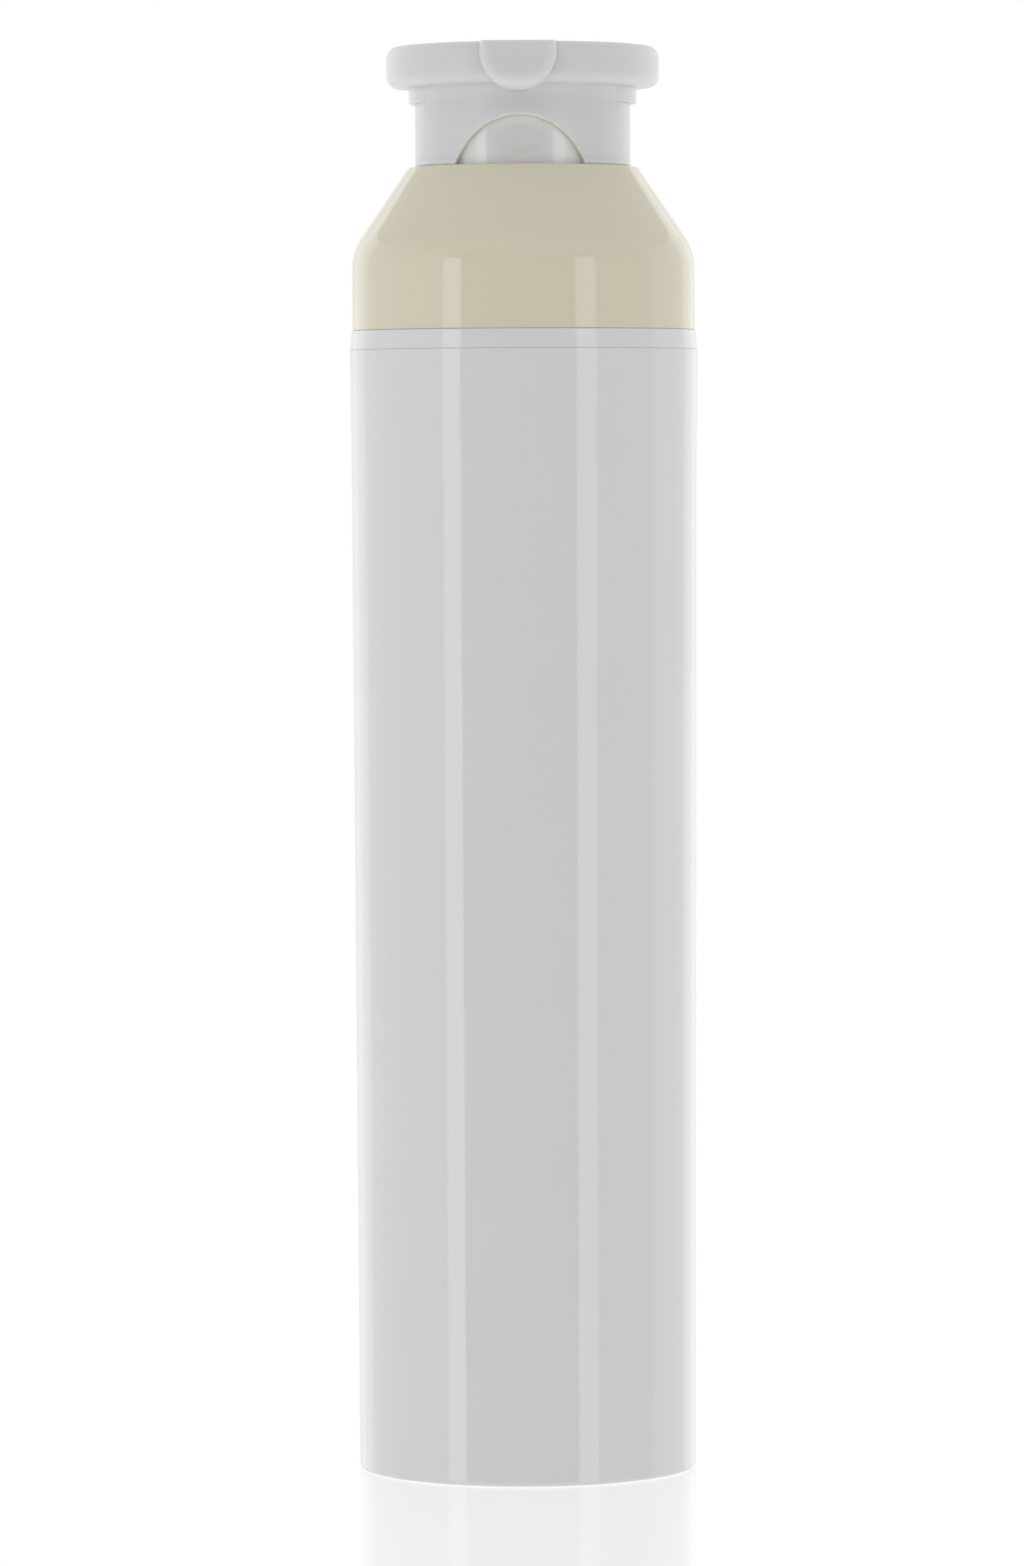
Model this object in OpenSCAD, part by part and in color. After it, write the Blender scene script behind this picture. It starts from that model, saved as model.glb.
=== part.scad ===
// Airless pump bottle of the 100 ml class.
// A follower piston rises in a straight bore as a small pump draws product out above it.
// Millimetres, +Z up. The origin is the centre of the foot plane, and the spout points to -Y.

/* [Bottle] */
// Outside diameter at the shoulder
bottle_d = 40; // [36:0.5:44]
// Height of the shoulder above the foot
bottle_h = 128; // [90:1:150]
// Wall of the bottle at the shoulder, which sets its straight bore
bottle_wall = 2.2; // [2:0.1:2.8]
// Radius that the outside loses between the flare and the foot
draft = 0.42; // [0.1:0.02:0.6]
// Radius that the outside gains in the flare below the shoulder
lip_flare = 0.18; // [0.04:0.02:0.3]
// Height of the flare
lip_flare_h = 11; // [5:1:25]
// Rounding of the outer foot edge
foot_round = 0.4; // [0.2:0.1:0.8]
// Height from the end of the straight bore to the shoulder
shoulder_t = 2.2; // [1.8:0.1:3]

/* [Base plug] */
// How far the plug sits above the foot plane
plug_recess = 0.8; // [0.4:0.1:1.5]
// Thickness of the plug's floor
plug_floor = 1.2; // [0.8:0.1:2]
// Height of the plug's wall, floor included
plug_h = 4; // [3.2:0.2:8]
// Wall of the plug
plug_wall = 1; // [0.8:0.1:1.6]
// Diameter of the air vent
vent_d = 2.4; // [1:0.2:4]
// Distance from the plug's bead up to the top of its wall
plug_bead_drop = 1.4; // [1:0.1:1.6]

/* [Neck and closure] */
// Height of the snap neck above the shoulder
neck_h = 6.4; // [5.6:0.1:6.8]
// Wall of the neck
neck_wall = 1.25; // [1:0.05:1.6]
// Wall of the closure's skirt
closure_wall = 1.1; // [0.9:0.05:1.4]
// Height of the closure's visible flange
flange_h = 2.2; // [1.6:0.1:3]
// How far the flange's edge lies inside the bottle's shoulder
flange_inset = 0.07; // [0.02:0.01:0.2]
// Radius that the flange's edge loses over its height
flange_draft = 0.17; // [0:0.01:0.3]
// Thickness of the closure's deck
deck_t = 1.4; // [1:0.1:1.6]
// Wall of the closure's upstand round the pump's flange
upstand_wall = 0.95; // [0.8:0.05:1.2]
// Height of the upstand's hook over the chaplet
hook_h = 0.6; // [0.4:0.1:0.8]
// Thickness of the gasket on the neck's rim
neck_gasket_t = 0.8; // [0.5:0.1:1]
// Height of the snap beads between neck, closure and collar
bead = 0.25; // [0.15:0.05:0.35]
// Length of a snap bead along the wall
bead_w = 1.2; // [0.8:0.1:1.6]
// Height of the collar's bead above the closure's flange
collar_bead_rise = 2.4; // [1.8:0.1:3]

/* [Collar] */
// Height of the collar above the closure's flange
collar_h = 18.6; // [18:0.1:22]
// How far the collar's side lies inside the bottle's shoulder
collar_inset = 0.35; // [0.25:0.05:0.8]
// Wall of the collar
collar_wall = 1; // [0.7:0.05:1.1]
// Height of the collar's cone
cone_h = 9.5; // [8.5:0.1:10.4]
// Width of the land round the collar's mouth, up to the corner
mouth_land = 0.65; // [0.55:0.05:1.2]
// Radius of the blend from the cylinder to the cone
collar_blend = 6.8; // [2:0.1:7.4]
// Rounding of the mouth's outer edge
mouth_round = 0.4; // [0.2:0.05:0.5]
// Length of the guide lip inside the mouth
lip_h = 3; // [2:0.2:4]
// Wall of the guide lip
lip_wall = 0.9; // [0.7:0.1:1.2]

/* [Actuator shell] */
// Diameter of the finger disc
disc_d = 31.1; // [28:0.1:34]
// Height of the finger disc
disc_h = 4.65; // [4.4:0.05:6]
// Rounding of the disc's edges
disc_round = 1.2; // [0.5:0.1:1.5]
// Diameter of the skirt
skirt_d = 24.56; // [24:0.02:25.4]
// Wall of the skirt
skirt_wall = 0.8; // [0.7:0.05:1.1]
// Thickness of the disc's top over the core
top_t = 1.2; // [0.8:0.05:1.3]
// Rounding of the skirt's lower edge
skirt_round = 0.35; // [0.1:0.05:0.4]
// How far the skirt's lower edge dips into the collar's mouth at rest
skirt_dip = 0.1; // [0.05:0.05:0.5]
// Radius of the arch in the skirt's front, at its top
arch_r = 8.74; // [6:0.02:9]
// Depth of the arch's centre below the collar's top
arch_drop = 3; // [2:0.1:4]
// How much the arch narrows inwards, as a share of its depth
arch_draft = 0.3; // [0.05:0.05:0.35]
// How far the side lugs stand out of the skirt
lug_out = 0.7; // [0.4:0.05:1]
// Radius of a side lug's rounded face
lug_r = 9; // [7:0.5:11]
// Height of a side lug
lug_h = 1.85; // [1.6:0.05:2.1]

/* [Spout] */
// Radius of the spout's outline
spout_r = 4.46; // [4.4:0.02:5]
// Depth of the outline's centre below the top of the disc
spout_drop = 1.2; // [1.1:0.05:1.4]
// How far the spout stands out of the disc's edge
spout_out = 1.35; // [1:0.05:3]
// Rounding of the spout's front edge
spout_round = 1.2; // [0.6:0.1:1.3]
// How much the spout narrows towards its front
spout_draft = 0.15; // [0.05:0.05:0.3]
// Diameter of the liner in the spout
liner_d = 3.6; // [3.2:0.1:3.8]
// Diameter of the channel in the spout
channel_d = 2.2; // [1.6:0.1:2.4]
// Diameter of the outlet under the spout
outlet_d = 2; // [1.2:0.1:2.2]
// Wall between the outlet and the spout's front
outlet_set = 1.8; // [1.7:0.1:2]
// Wall that the liner keeps past its outlet
liner_end = 0.3; // [0.2:0.05:0.4]
// Height of plastic between the liner and the disc's hollow
liner_cover = 0.1; // [0.05:0.05:0.2]

/* [Actuator core] */
// Wall of the core's sleeve
sleeve_wall = 0.83; // [0.6:0.01:0.9]
// Gap between the sleeve and the skirt round it
sleeve_gap = 0.06; // [0.05:0.01:0.2]
// How far the sleeve reaches into the collar at rest
sleeve_reach = 3.2; // [2:0.1:4]
// Thickness of the core's web
web_t = 1.1; // [0.8:0.1:1.4]
// Wall of the stem socket
socket_wall = 1.65; // [1.3:0.05:1.8]
// Length of the stem socket
socket_l = 6.6; // [5:0.1:6.8]
// Wall of the riser over the socket
riser_wall = 1.1; // [0.9:0.1:1.3]
// Height of the gap between the core's channel and its web
web_drop = 0.3; // [0.2:0.05:0.4]
// Distance from the end of the core's channel to its sleeve's outside
core_set = 0.13; // [0.1:0.01:0.2]
// Height of the step where the sleeve widens to fit the skirt
sleeve_step = 0.8; // [0.6:0.1:1]

/* [Pump] */
// Travel of the actuator
stroke = 7; // [6:0.1:7.2]
// Diameter of the pump's bore
pump_d = 10.4; // [9.6:0.1:11]
// Wall of the pump housing
housing_wall = 1.1; // [0.8:0.1:1.3]
// Radius of the housing's flange
flange_r = 9; // [8.6:0.1:9.2]
// Thickness of the housing's flange
housing_flange_t = 1.2; // [0.9:0.1:1.4]
// Thickness of the gasket under that flange
pump_gasket_t = 0.6; // [0.4:0.1:0.8]
// Thickness of the chaplet's flange
chaplet_t = 1.2; // [0.9:0.1:1.3]
// Depth of the chaplet's plug in the pump's bore
chaplet_plug_h = 2.2; // [1.8:0.1:3]
// Height of the chaplet's stem guide above its flange
guide_h = 1.8; // [1:0.1:2]
// Wall of the chaplet's stem guide
guide_wall = 1.3; // [0.8:0.1:1.5]
// Diameter of the stem
stem_d = 5; // [4.6:0.1:5.2]
// Diameter of the stem's lower part, under its flange
stem_low_d = 3.8; // [3.6:0.1:4]
// Diameter of the stem's bore
stem_bore_d = 2.6; // [2:0.1:2.7]
// Radius of the stem's flange
stem_flange_r = 3.6; // [3.2:0.1:4]
// Thickness of the stem's flange
stem_flange_t = 1.2; // [0.8:0.1:1.6]
// Diameter of the two ports in the stem
port_d = 0.8; // [0.5:0.1:1]
// Travel of the pump piston on the stem, which opens the ports
lost_motion = 0.8; // [0.6:0.1:1]
// Height of the pump piston
piston_h = 4; // [3.4:0.1:5]
// Wall of the pump piston
piston_wall = 0.9; // [0.7:0.05:1]
// Thickness of the stem plug's head
plug_head_t = 1.2; // [0.8:0.1:1.6]
// Radius of the stem plug's head
plug_head_r = 3.2; // [2.8:0.1:3.6]
// Length of the stem plug's pin
pin_h = 2.4; // [2:0.1:3]
// Width of the slot across that pin
slot_w = 1; // [0.8:0.1:1.2]

/* [Inlet valve] */
// Diameter of the ball
ball_d = 3; // [2.6:0.1:3.4]
// Lift of the ball
ball_lift = 1; // [0.6:0.1:1.4]
// Diameter of the inlet
inlet_d = 1.9; // [1.2:0.1:2]
// Length of the inlet below the seat
inlet_h = 1.2; // [0.8:0.1:2]
// Height of the ball's cage
cage_h = 1; // [0.7:0.1:1.4]
// Gap round the ball in its chamber
chamber_gap = 1; // [0.8:0.1:1.2]
// Wall of the chamber
chamber_wall = 1.3; // [1:0.1:1.4]

/* [Return spring] */
// Diameter of the spring's wire
wire_d = 0.8; // [0.6:0.05:0.85]
// Number of curls
curls = 5; // [4:1:5]
// Height of the step on the core's hub that the spring bears on
spring_step = 3; // [2.6:0.1:3.4]
// Gap between the spring and the core's hub
spring_gap = 0.5; // [0.4:0.05:0.6]

/* [Follower piston] */
// Wall of the follower piston
follower_wall = 1; // [0.8:0.1:1.4]
// Height of a sealing lip
seal_h = 2; // [1.2:0.1:3]
// Depth of the waist between the lips
waist = 0.45; // [0.3:0.05:0.5]
// Number of ribs under the crown
ribs = 6; // [3:1:12]

/* [Clearances] */
// Radial gap of pressed and snapped pieces
fit_gap = 0.05; // [0.02:0.01:0.06]
// Radial gap of sliding and turning pieces
slide_gap = 0.05; // [0.03:0.01:0.08]
// Axial gap between pieces that stop each other
stop_gap = 0.05; // [0.02:0.01:0.1]
// Radial gap between the skirt and the collar's mouth
head_gap = 0.22; // [0.15:0.01:0.35]
// Gap left between lugs and collar at full stroke
lug_gap = 0.2; // [0.05:0.05:0.4]
// Gap round the pump in the follower's recess
nest_gap = 0.6; // [0.4:0.1:1]
// Gap under the follower when the bottle is full, and above it when empty
end_gap = 0.2; // [0.1:0.05:0.3]
// Height left under the stem's plug at full stroke
floor_gap = 0.45; // [0.3:0.05:0.6]
// Height left between the core's hub and the stem guide at full stroke
hub_gap = 0.6; // [0.4:0.1:0.8]

/* [Hidden] */
// Small sizes that several pieces share
chamfer = 0.5;
small_chamfer = 0.3;
gasket_inset = 0.1;
port_rise = 0.1;
floor_slope = 30;
seat_gap = 0.02;
// How far joined shapes run into each other, and cutting shapes past a wall
root = 0.2;
past = 1;

// Radii, from the bottle's side inwards
bottle_r = bottle_d / 2;
bore_r = bottle_r - bottle_wall;
body_r = bottle_r - lip_flare;
foot_r = body_r - draft;
collar_r = bottle_r - collar_inset;
collar_bore_r = collar_r - collar_wall;
closure_r = collar_bore_r - fit_gap;
closure_bore_r = closure_r - closure_wall;
neck_r = closure_bore_r - fit_gap;
neck_bore_r = neck_r - neck_wall;

// Heights of the neck and closure
bore_top = bottle_h - shoulder_t;
neck_top = bottle_h + neck_h;
deck_z = neck_top + neck_gasket_t;
deck_top = deck_z + deck_t;
flange_top = bottle_h + flange_h;
neck_bead_z = bottle_h + neck_h / 2;
collar_bead_z = flange_top + collar_bead_rise;
plug_bead_z = plug_recess + plug_h - plug_bead_drop;

// The collar's outline
collar_top = flange_top + collar_h;
skirt_r = skirt_d / 2;
mouth_r = skirt_r + head_gap;
corner_r = mouth_r + mouth_land;
cone_z = collar_top - cone_h;
cone_a = atan((collar_r - corner_r) / cone_h);
blend_z = cone_z - collar_blend * tan(cone_a / 2);

// Heights and radii of the head, at rest
disc_r = disc_d / 2;
lug_z = collar_top + stroke + lug_gap;
disc_z = lug_z + lug_h;
head_top = disc_z + disc_h;
skirt_z = collar_top - skirt_dip;
skirt_bore_r = skirt_r - skirt_wall;
sleeve_r = skirt_bore_r - sleeve_gap;
sleeve_z = collar_top - sleeve_reach;
plate_z = head_top - top_t;
channel_z = plate_z - liner_cover - liner_d / 2;
web_top = channel_z - liner_d / 2 - web_drop;
web_z = web_top - web_t;
spout_y = -(disc_r + spout_out);
spout_z = head_top - spout_drop;
outlet_y = spout_y + outlet_set + outlet_d / 2;
liner_y = outlet_y - outlet_d / 2 - liner_end;
core_y = -(sleeve_r - core_set);

// Heights of the pump, from the deck downwards and upwards
pump_r = pump_d / 2;
housing_r = pump_r + housing_wall;
gasket_top = deck_top + pump_gasket_t;
flange_z = gasket_top;
chaplet_z = flange_z + housing_flange_t;
chaplet_top = chaplet_z + chaplet_t;
guide_top = chaplet_top + guide_h;
chaplet_plug_z = chaplet_z - chaplet_plug_h;
upstand_r = flange_r + fit_gap + upstand_wall;
upstand_top = chaplet_top + stop_gap + hook_h;
stem_r = stem_d / 2;
stem_flange_z = chaplet_plug_z - stop_gap - stem_flange_t;
piston_top = stem_flange_z - lost_motion;
piston_z = piston_top - piston_h;
plug_head_z = piston_z - plug_head_t;
pump_floor_z = plug_head_z - stroke - floor_gap;
port_z = piston_z + port_d / 2 + port_rise;

// The stem's top end bears on the end of the socket
socket_r = stem_r + slide_gap;
hub_r = socket_r + socket_wall;
hub_z = guide_top + stroke + hub_gap;
stem_top = hub_z + socket_l;

// The inlet valve. The ball rests on a 45 degree seat
ball_r = ball_d / 2;
inlet_r = inlet_d / 2;
chamber_r = ball_r + chamber_gap;
chamber_top = pump_floor_z - (pump_r - chamber_r) * tan(floor_slope);
cage_z = chamber_top - cage_h;
ball_z = cage_z - stop_gap - ball_lift - ball_r;
seat_z = ball_z + inlet_r - sqrt(2) * (ball_r + seat_gap);
housing_z = seat_z - inlet_h;

// The return spring stands on the chaplet and bears on a step of the core's hub
wire_r = wire_d / 2;
spring_r = hub_r + spring_gap + wire_r;
spring_z = chaplet_top;
spring_top = hub_z + spring_step;
spring_sides = 6;
spring_rings = 8;
// The section's corners lie this share of the wire's radius out, so that they stay inside the wire's ends
spring_fill = 0.97;
spring_pitch = (spring_top - spring_z - wire_d) / curls;

// The follower piston's recess lets it rise round the pump
follower_z = plug_recess + plug_h + end_gap;
recess_r = housing_r + nest_gap;
recess_h = bore_top - end_gap - housing_z + nest_gap;
follower_h = recess_h + follower_wall;
follower_r = bore_r - slide_gap;
follower_travel = bore_top - end_gap - follower_z - follower_h;

e = 0.01;
$fn = 96;

white = [0.93, 0.93, 0.94];
satin = [0.90, 0.90, 0.91];
cream = [0.93, 0.90, 0.80];
natural = [0.86, 0.87, 0.86];
rubber = [0.75, 0.76, 0.78];
steel = [0.72, 0.73, 0.75];

// Points of an arc round [r, z], from angle a0 to angle a1
function arc(r, z, radius, a0, a1, steps = 8) =
    [for (i = [0:steps]) let (a = a0 + (a1 - a0) * i / steps) [r + radius * cos(a), z + radius * sin(a)]];

// A full solid of revolution from an outline of [r, z] points
module lathe(points) {
    rotate_extrude() polygon(points);
}

// A tube between two radii and two heights
module ring(r_out, r_in, z0, z1) {
    lathe([[r_in, z0], [r_out, z0], [r_out, z1], [r_in, z1]]);
}

// A snap bead, or with a little more size the groove that takes it
module bead_ring(r, z, size) {
    h = bead_w / 2 + size - bead;
    lathe([
        [r - root, z - h], [r, z - h], [r + size, z - h + size],
        [r + size, z + h - size], [r, z + h], [r - root, z + h]
    ]);
}

// A round bar along -Y between two distances from the axis
module bar_y(r, z, y_near, y_far) {
    translate([0, -y_near, z]) rotate([90, 0, 0]) cylinder(r = r, h = y_far - y_near);
}

module bottle_body() {
    color(white) difference() {
        union() {
            lathe(concat(
                [[bore_r, 0]],
                arc(foot_r - foot_round, foot_round, foot_round, -90, 0, 6),
                [
                    [body_r, bottle_h - lip_flare_h], [bottle_r, bottle_h], [neck_r, bottle_h],
                    [neck_r, neck_top - chamfer], [neck_r - chamfer, neck_top], [neck_bore_r, neck_top],
                    [neck_bore_r, bore_top + (bore_r - neck_bore_r)], [bore_r, bore_top]
                ]
            ));
            bead_ring(neck_r, neck_bead_z, bead);
        }
        bead_ring(bore_r, plug_bead_z, bead + fit_gap);
    }
}

module base_plug() {
    r = bore_r - fit_gap;
    color(white) difference() {
        union() {
            translate([0, 0, plug_recess]) cylinder(r = r, h = plug_h);
            bead_ring(r, plug_bead_z, bead);
        }
        translate([0, 0, plug_recess + plug_floor]) cylinder(r = r - plug_wall, h = plug_h);
        translate([0, 0, -e]) cylinder(d = vent_d, h = plug_h);
    }
}

// The crown is drawn down into a deep recess, so that the piston empties the bore round the pump
module follower_piston() {
    z0 = follower_z;
    z1 = follower_z + follower_h;
    crown_z = z1 - follower_wall;
    skirt_in = follower_r - waist - follower_wall;
    recess_out = recess_r + follower_wall;
    color(natural) union() {
        lathe([
            [0, z0], [recess_out, z0], [recess_out, crown_z], [skirt_in, crown_z], [skirt_in, z0],
            [follower_r, z0], [follower_r, z0 + seal_h], [follower_r - waist, z0 + seal_h + waist],
            [follower_r - waist, z1 - seal_h - waist], [follower_r, z1 - seal_h],
            [follower_r, z1], [recess_r, z1], [recess_r, z0 + follower_wall], [0, z0 + follower_wall]
        ]);
        for (i = [0:ribs - 1])
            rotate([0, 0, i * 360 / ribs])
                translate([recess_out - root, -follower_wall / 2, z0 + follower_h / 2])
                    cube([skirt_in - recess_out + 2 * root, follower_wall, follower_h / 2 - follower_wall / 2]);
    }
}

module neck_gasket() {
    color(rubber) ring(neck_r - gasket_inset, neck_bore_r + gasket_inset, neck_top, deck_z);
}

module pump_closure() {
    color(white) difference() {
        union() {
            lathe([
                [closure_bore_r, bottle_h], [bottle_r - flange_inset, bottle_h],
                [bottle_r - flange_inset - flange_draft, flange_top], [closure_r, flange_top],
                [closure_r, deck_top - chamfer], [closure_r - chamfer, deck_top],
                [upstand_r, deck_top], [upstand_r, upstand_top], [flange_r - bead, upstand_top],
                [flange_r + fit_gap, chaplet_top + stop_gap], [flange_r + fit_gap, deck_top],
                [housing_r + fit_gap, deck_top], [housing_r + fit_gap, deck_z], [closure_bore_r, deck_z]
            ]);
            bead_ring(closure_r, collar_bead_z, bead);
        }
        bead_ring(closure_bore_r, neck_bead_z, bead + fit_gap);
    }
}

// The collar's side at a given depth under its outer surface, from the bottom up
function collar_side(depth, z0) = concat(
    [[collar_r - depth, z0]],
    arc(collar_r - collar_blend, blend_z, collar_blend - depth, 0, cone_a, 10)
);

// Radius of the collar's cone at a height, at a given depth under its outer surface
function cone_r(z, depth) = corner_r + (collar_top - z) * tan(cone_a) - depth / cos(cone_a);

module shoulder_collar() {
    lip_r = mouth_r + lip_wall;
    lip_meet_z = collar_top - (lip_r - corner_r + collar_wall / cos(cone_a)) / tan(cone_a);
    color(cream) difference() {
        lathe(concat(
            collar_side(0, flange_top),
            arc(cone_r(collar_top - mouth_round, mouth_round), collar_top - mouth_round, mouth_round, cone_a, 90, 6),
            [[mouth_r, collar_top], [mouth_r, collar_top - lip_h], [lip_r, collar_top - lip_h], [lip_r, lip_meet_z]],
            [for (i = [11:-1:0]) collar_side(collar_wall, flange_top)[i]]
        ));
        bead_ring(collar_bore_r, collar_bead_z, bead + fit_gap);
    }
}

module pump_housing() {
    color(natural) lathe([
        [inlet_r, housing_z], [chamber_r + chamber_wall - chamfer, housing_z],
        [chamber_r + chamber_wall, housing_z + chamfer], [chamber_r + chamber_wall, chamber_top - chamfer],
        [housing_r, pump_floor_z - small_chamfer], [housing_r, flange_z], [flange_r, flange_z],
        [flange_r, chaplet_z], [pump_r, chaplet_z], [pump_r, pump_floor_z],
        [chamber_r, chamber_top], [chamber_r, seat_z + chamber_r - inlet_r], [inlet_r, seat_z]
    ]);
}

module housing_gasket() {
    color(rubber) ring(flange_r - gasket_inset, housing_r + gasket_inset, deck_top, gasket_top);
}

module chaplet() {
    bore = stem_r + slide_gap;
    color(white) lathe([
        [bore, chaplet_plug_z], [pump_r - fit_gap, chaplet_plug_z], [pump_r - fit_gap, chaplet_z],
        [flange_r, chaplet_z], [flange_r, chaplet_top], [bore + guide_wall, chaplet_top],
        [bore + guide_wall, guide_top], [bore, guide_top]
    ]);
}

// A disc with four windows that keeps the ball near its seat and lets product past
module ball_cage() {
    r = chamber_r - fit_gap;
    window_r = r * 0.26;
    color(white) difference() {
        translate([0, 0, cage_z]) cylinder(r = r, h = cage_h);
        for (a = [45:90:315])
            rotate([0, 0, a]) translate([r / 2, 0, cage_z - e]) cylinder(r = window_r, h = cage_h + 2 * e);
    }
}

module inlet_ball() {
    color(steel) translate([0, 0, ball_z]) sphere(r = ball_r);
}

// A point of the spring's surface: ring i of the wire's path, side j of its section
function spring_centre(i) = let (a = 360 * i / spring_rings)
    [spring_r * cos(a), spring_r * sin(a), spring_z + wire_r + spring_pitch * i / spring_rings];
function spring_point(i, j) =
    let (
        a = 360 * i / spring_rings,
        b = 360 * j / spring_sides,
        w = spring_fill * wire_r,
        c = spring_centre(i)
    ) [c[0] + w * cos(b) * cos(a), c[1] + w * cos(b) * sin(a), c[2] + w * sin(b)];

module return_spring() {
    count = curls * spring_rings;
    n = spring_sides;
    gap = min([for (i = [0:count - spring_rings]) norm(spring_centre(i + spring_rings) - spring_centre(i))]) - wire_d;
    echo(least_gap_between_spring_curls = gap);
    points = [for (i = [0:count]) for (j = [0:n - 1]) spring_point(i, j)];
    sides = [
        for (i = [0:count - 1]) for (j = [0:n - 1]) for (half = [0, 1])
            let (a = i * n + j, b = i * n + (j + 1) % n)
                half == 0 ? [a, a + n, b] : [b, a + n, b + n]
    ];
    near = [for (j = [1:n - 2]) [0, j, j + 1]];
    far = [for (j = [1:n - 2]) [count * n, count * n + j + 1, count * n + j]];
    color(steel) polyhedron(points = points, faces = concat(sides, near, far));
}

module stem() {
    low_r = stem_low_d / 2;
    bore = stem_bore_d / 2;
    color(white) difference() {
        lathe([
            [bore, piston_z], [low_r, piston_z], [low_r, stem_flange_z], [stem_flange_r, stem_flange_z],
            [stem_flange_r, stem_flange_z + stem_flange_t], [stem_r, stem_flange_z + stem_flange_t],
            [stem_r, stem_top - small_chamfer], [stem_r - small_chamfer, stem_top], [bore, stem_top]
        ]);
        translate([-low_r - past, 0, port_z]) rotate([0, 90, 0]) cylinder(d = port_d, h = 2 * (low_r + past));
    }
}

// The slot across the pin lets product from the ports into the stem's bore
module stem_plug() {
    pin_r = stem_bore_d / 2 - fit_gap;
    color(white) difference() {
        union() {
            translate([0, 0, plug_head_z]) cylinder(r = plug_head_r, h = plug_head_t);
            translate([0, 0, plug_head_z + e]) cylinder(r = pin_r, h = plug_head_t + pin_h);
        }
        translate([-pin_r - past, -slot_w / 2, piston_z + e]) cube([2 * (pin_r + past), slot_w, pin_h + past]);
    }
}

module pump_piston() {
    inner = stem_low_d / 2 + slide_gap;
    outer = pump_r - slide_gap;
    web = piston_z + piston_h / 2;
    web_half = 0.5;
    lip_edge = small_chamfer + 0.4;
    lip_spring = 0.25;
    color(natural) union() {
        ring(inner + piston_wall, inner, piston_z, piston_top);
        ring(outer - piston_wall / 2, inner + e, web - web_half, web + web_half);
        lathe([
            [outer - piston_wall, piston_z + small_chamfer], [outer - root, piston_z + small_chamfer],
            [outer, piston_z + lip_edge], [outer - lip_spring, web], [outer, piston_top - lip_edge],
            [outer - root, piston_top - small_chamfer], [outer - piston_wall, piston_top - small_chamfer]
        ]);
    }
}

module actuator_core() {
    bore = stem_bore_d / 2;
    riser_r = bore + riser_wall;
    riser_top = plate_z - stop_gap;
    rib_t = 1.2;
    seat_r = spring_r + wire_d;
    sleeve_bore_r = sleeve_r - sleeve_wall;
    color(white) difference() {
        union() {
            lathe([
                [bore, stem_top], [socket_r, stem_top], [socket_r, hub_z], [hub_r, hub_z],
                [hub_r, spring_top], [seat_r, spring_top], [seat_r, web_z], [sleeve_bore_r, web_z],
                [sleeve_bore_r, sleeve_z], [sleeve_r, sleeve_z], [sleeve_r, web_z - sleeve_step],
                [skirt_bore_r, web_z - sleeve_step], [skirt_bore_r, web_top], [riser_r, web_top],
                [riser_r, riser_top], [0, riser_top], [0, channel_z], [bore, channel_z]
            ]);
            bar_y(liner_d / 2, channel_z, bore + chamfer, -core_y);
            translate([-rib_t / 2, core_y, web_top - root]) cube([rib_t, -core_y - bore - chamfer, web_drop + 2.5 * root]);
        }
        bar_y(channel_d / 2, channel_z, 0, -core_y + past);
    }
}

// A round boss along -Y, cut flat level with the disc's top and rounded at its front
module spout() {
    front = -spout_y;
    intersection() {
        translate([0, 0, spout_z]) rotate([90, 0, 0]) lathe(concat(
            [[0, skirt_r - skirt_wall / 2], [spout_r, skirt_r - skirt_wall / 2]],
            arc(spout_r - spout_draft - spout_round, front - spout_round, spout_round, 0, 90),
            [[0, front]]
        ));
        translate([-spout_r - past, 0, 0]) rotate([90, 0, 90]) linear_extrude(2 * (spout_r + past)) polygon(concat(
            [[0, disc_z - 2 * spout_r], [-front - past, disc_z - 2 * spout_r], [-front - past, head_top - disc_round]],
            [for (p = arc(front - disc_round, head_top - disc_round, disc_round, 0, 90)) [-p[0], p[1]]],
            [[0, head_top]]
        ));
    }
}

// Two crescents: each face runs out into the skirt at front and back
module lugs() {
    difference() {
        for (side = [-1, 1]) translate([side * (skirt_r + lug_out - lug_r), 0, lug_z])
            cylinder(r = lug_r, h = lug_h + root);
        translate([0, 0, lug_z - past]) cylinder(r = skirt_r - skirt_wall / 2, h = lug_h + 2 * past);
    }
}

// A cone along -Y, so that the arch's wall shows from the front
module arch() {
    near = skirt_bore_r / 2;
    translate([0, -near, collar_top - arch_drop]) rotate([90, 0, 0]) cylinder(
        r1 = arch_r - arch_draft * (skirt_r - near), r2 = arch_r + arch_draft * past, h = skirt_r + past - near);
}

module actuator_shell() {
    color(satin) difference() {
        union() {
            lathe(concat(
                [[skirt_bore_r, skirt_z]],
                arc(skirt_r - skirt_round, skirt_z + skirt_round, skirt_round, -90, 0, 5),
                [[skirt_r, disc_z]],
                arc(disc_r - disc_round, disc_z + disc_round, disc_round, -90, 0),
                arc(disc_r - disc_round, head_top - disc_round, disc_round, 0, 90),
                [[0, head_top], [0, plate_z], [skirt_bore_r, plate_z]]
            ));
            spout();
            lugs();
        }
        arch();
        bar_y(liner_d / 2, channel_z, skirt_bore_r - 2 * past, -liner_y);
        translate([0, outlet_y, disc_z - 2 * spout_r]) cylinder(d = outlet_d, h = channel_z - disc_z + 2 * spout_r);
    }
}

// Pushed into the spout from inside, and held there by the core
module nozzle_insert() {
    color(white) difference() {
        bar_y(liner_d / 2 - fit_gap, channel_z, -core_y, -liner_y);
        bar_y(channel_d / 2, channel_z, -core_y - past, -outlet_y + outlet_d / 2 - root);
        translate([0, outlet_y, channel_z - liner_d]) cylinder(d = outlet_d - 2 * fit_gap, h = liner_d);
    }
}

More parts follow.
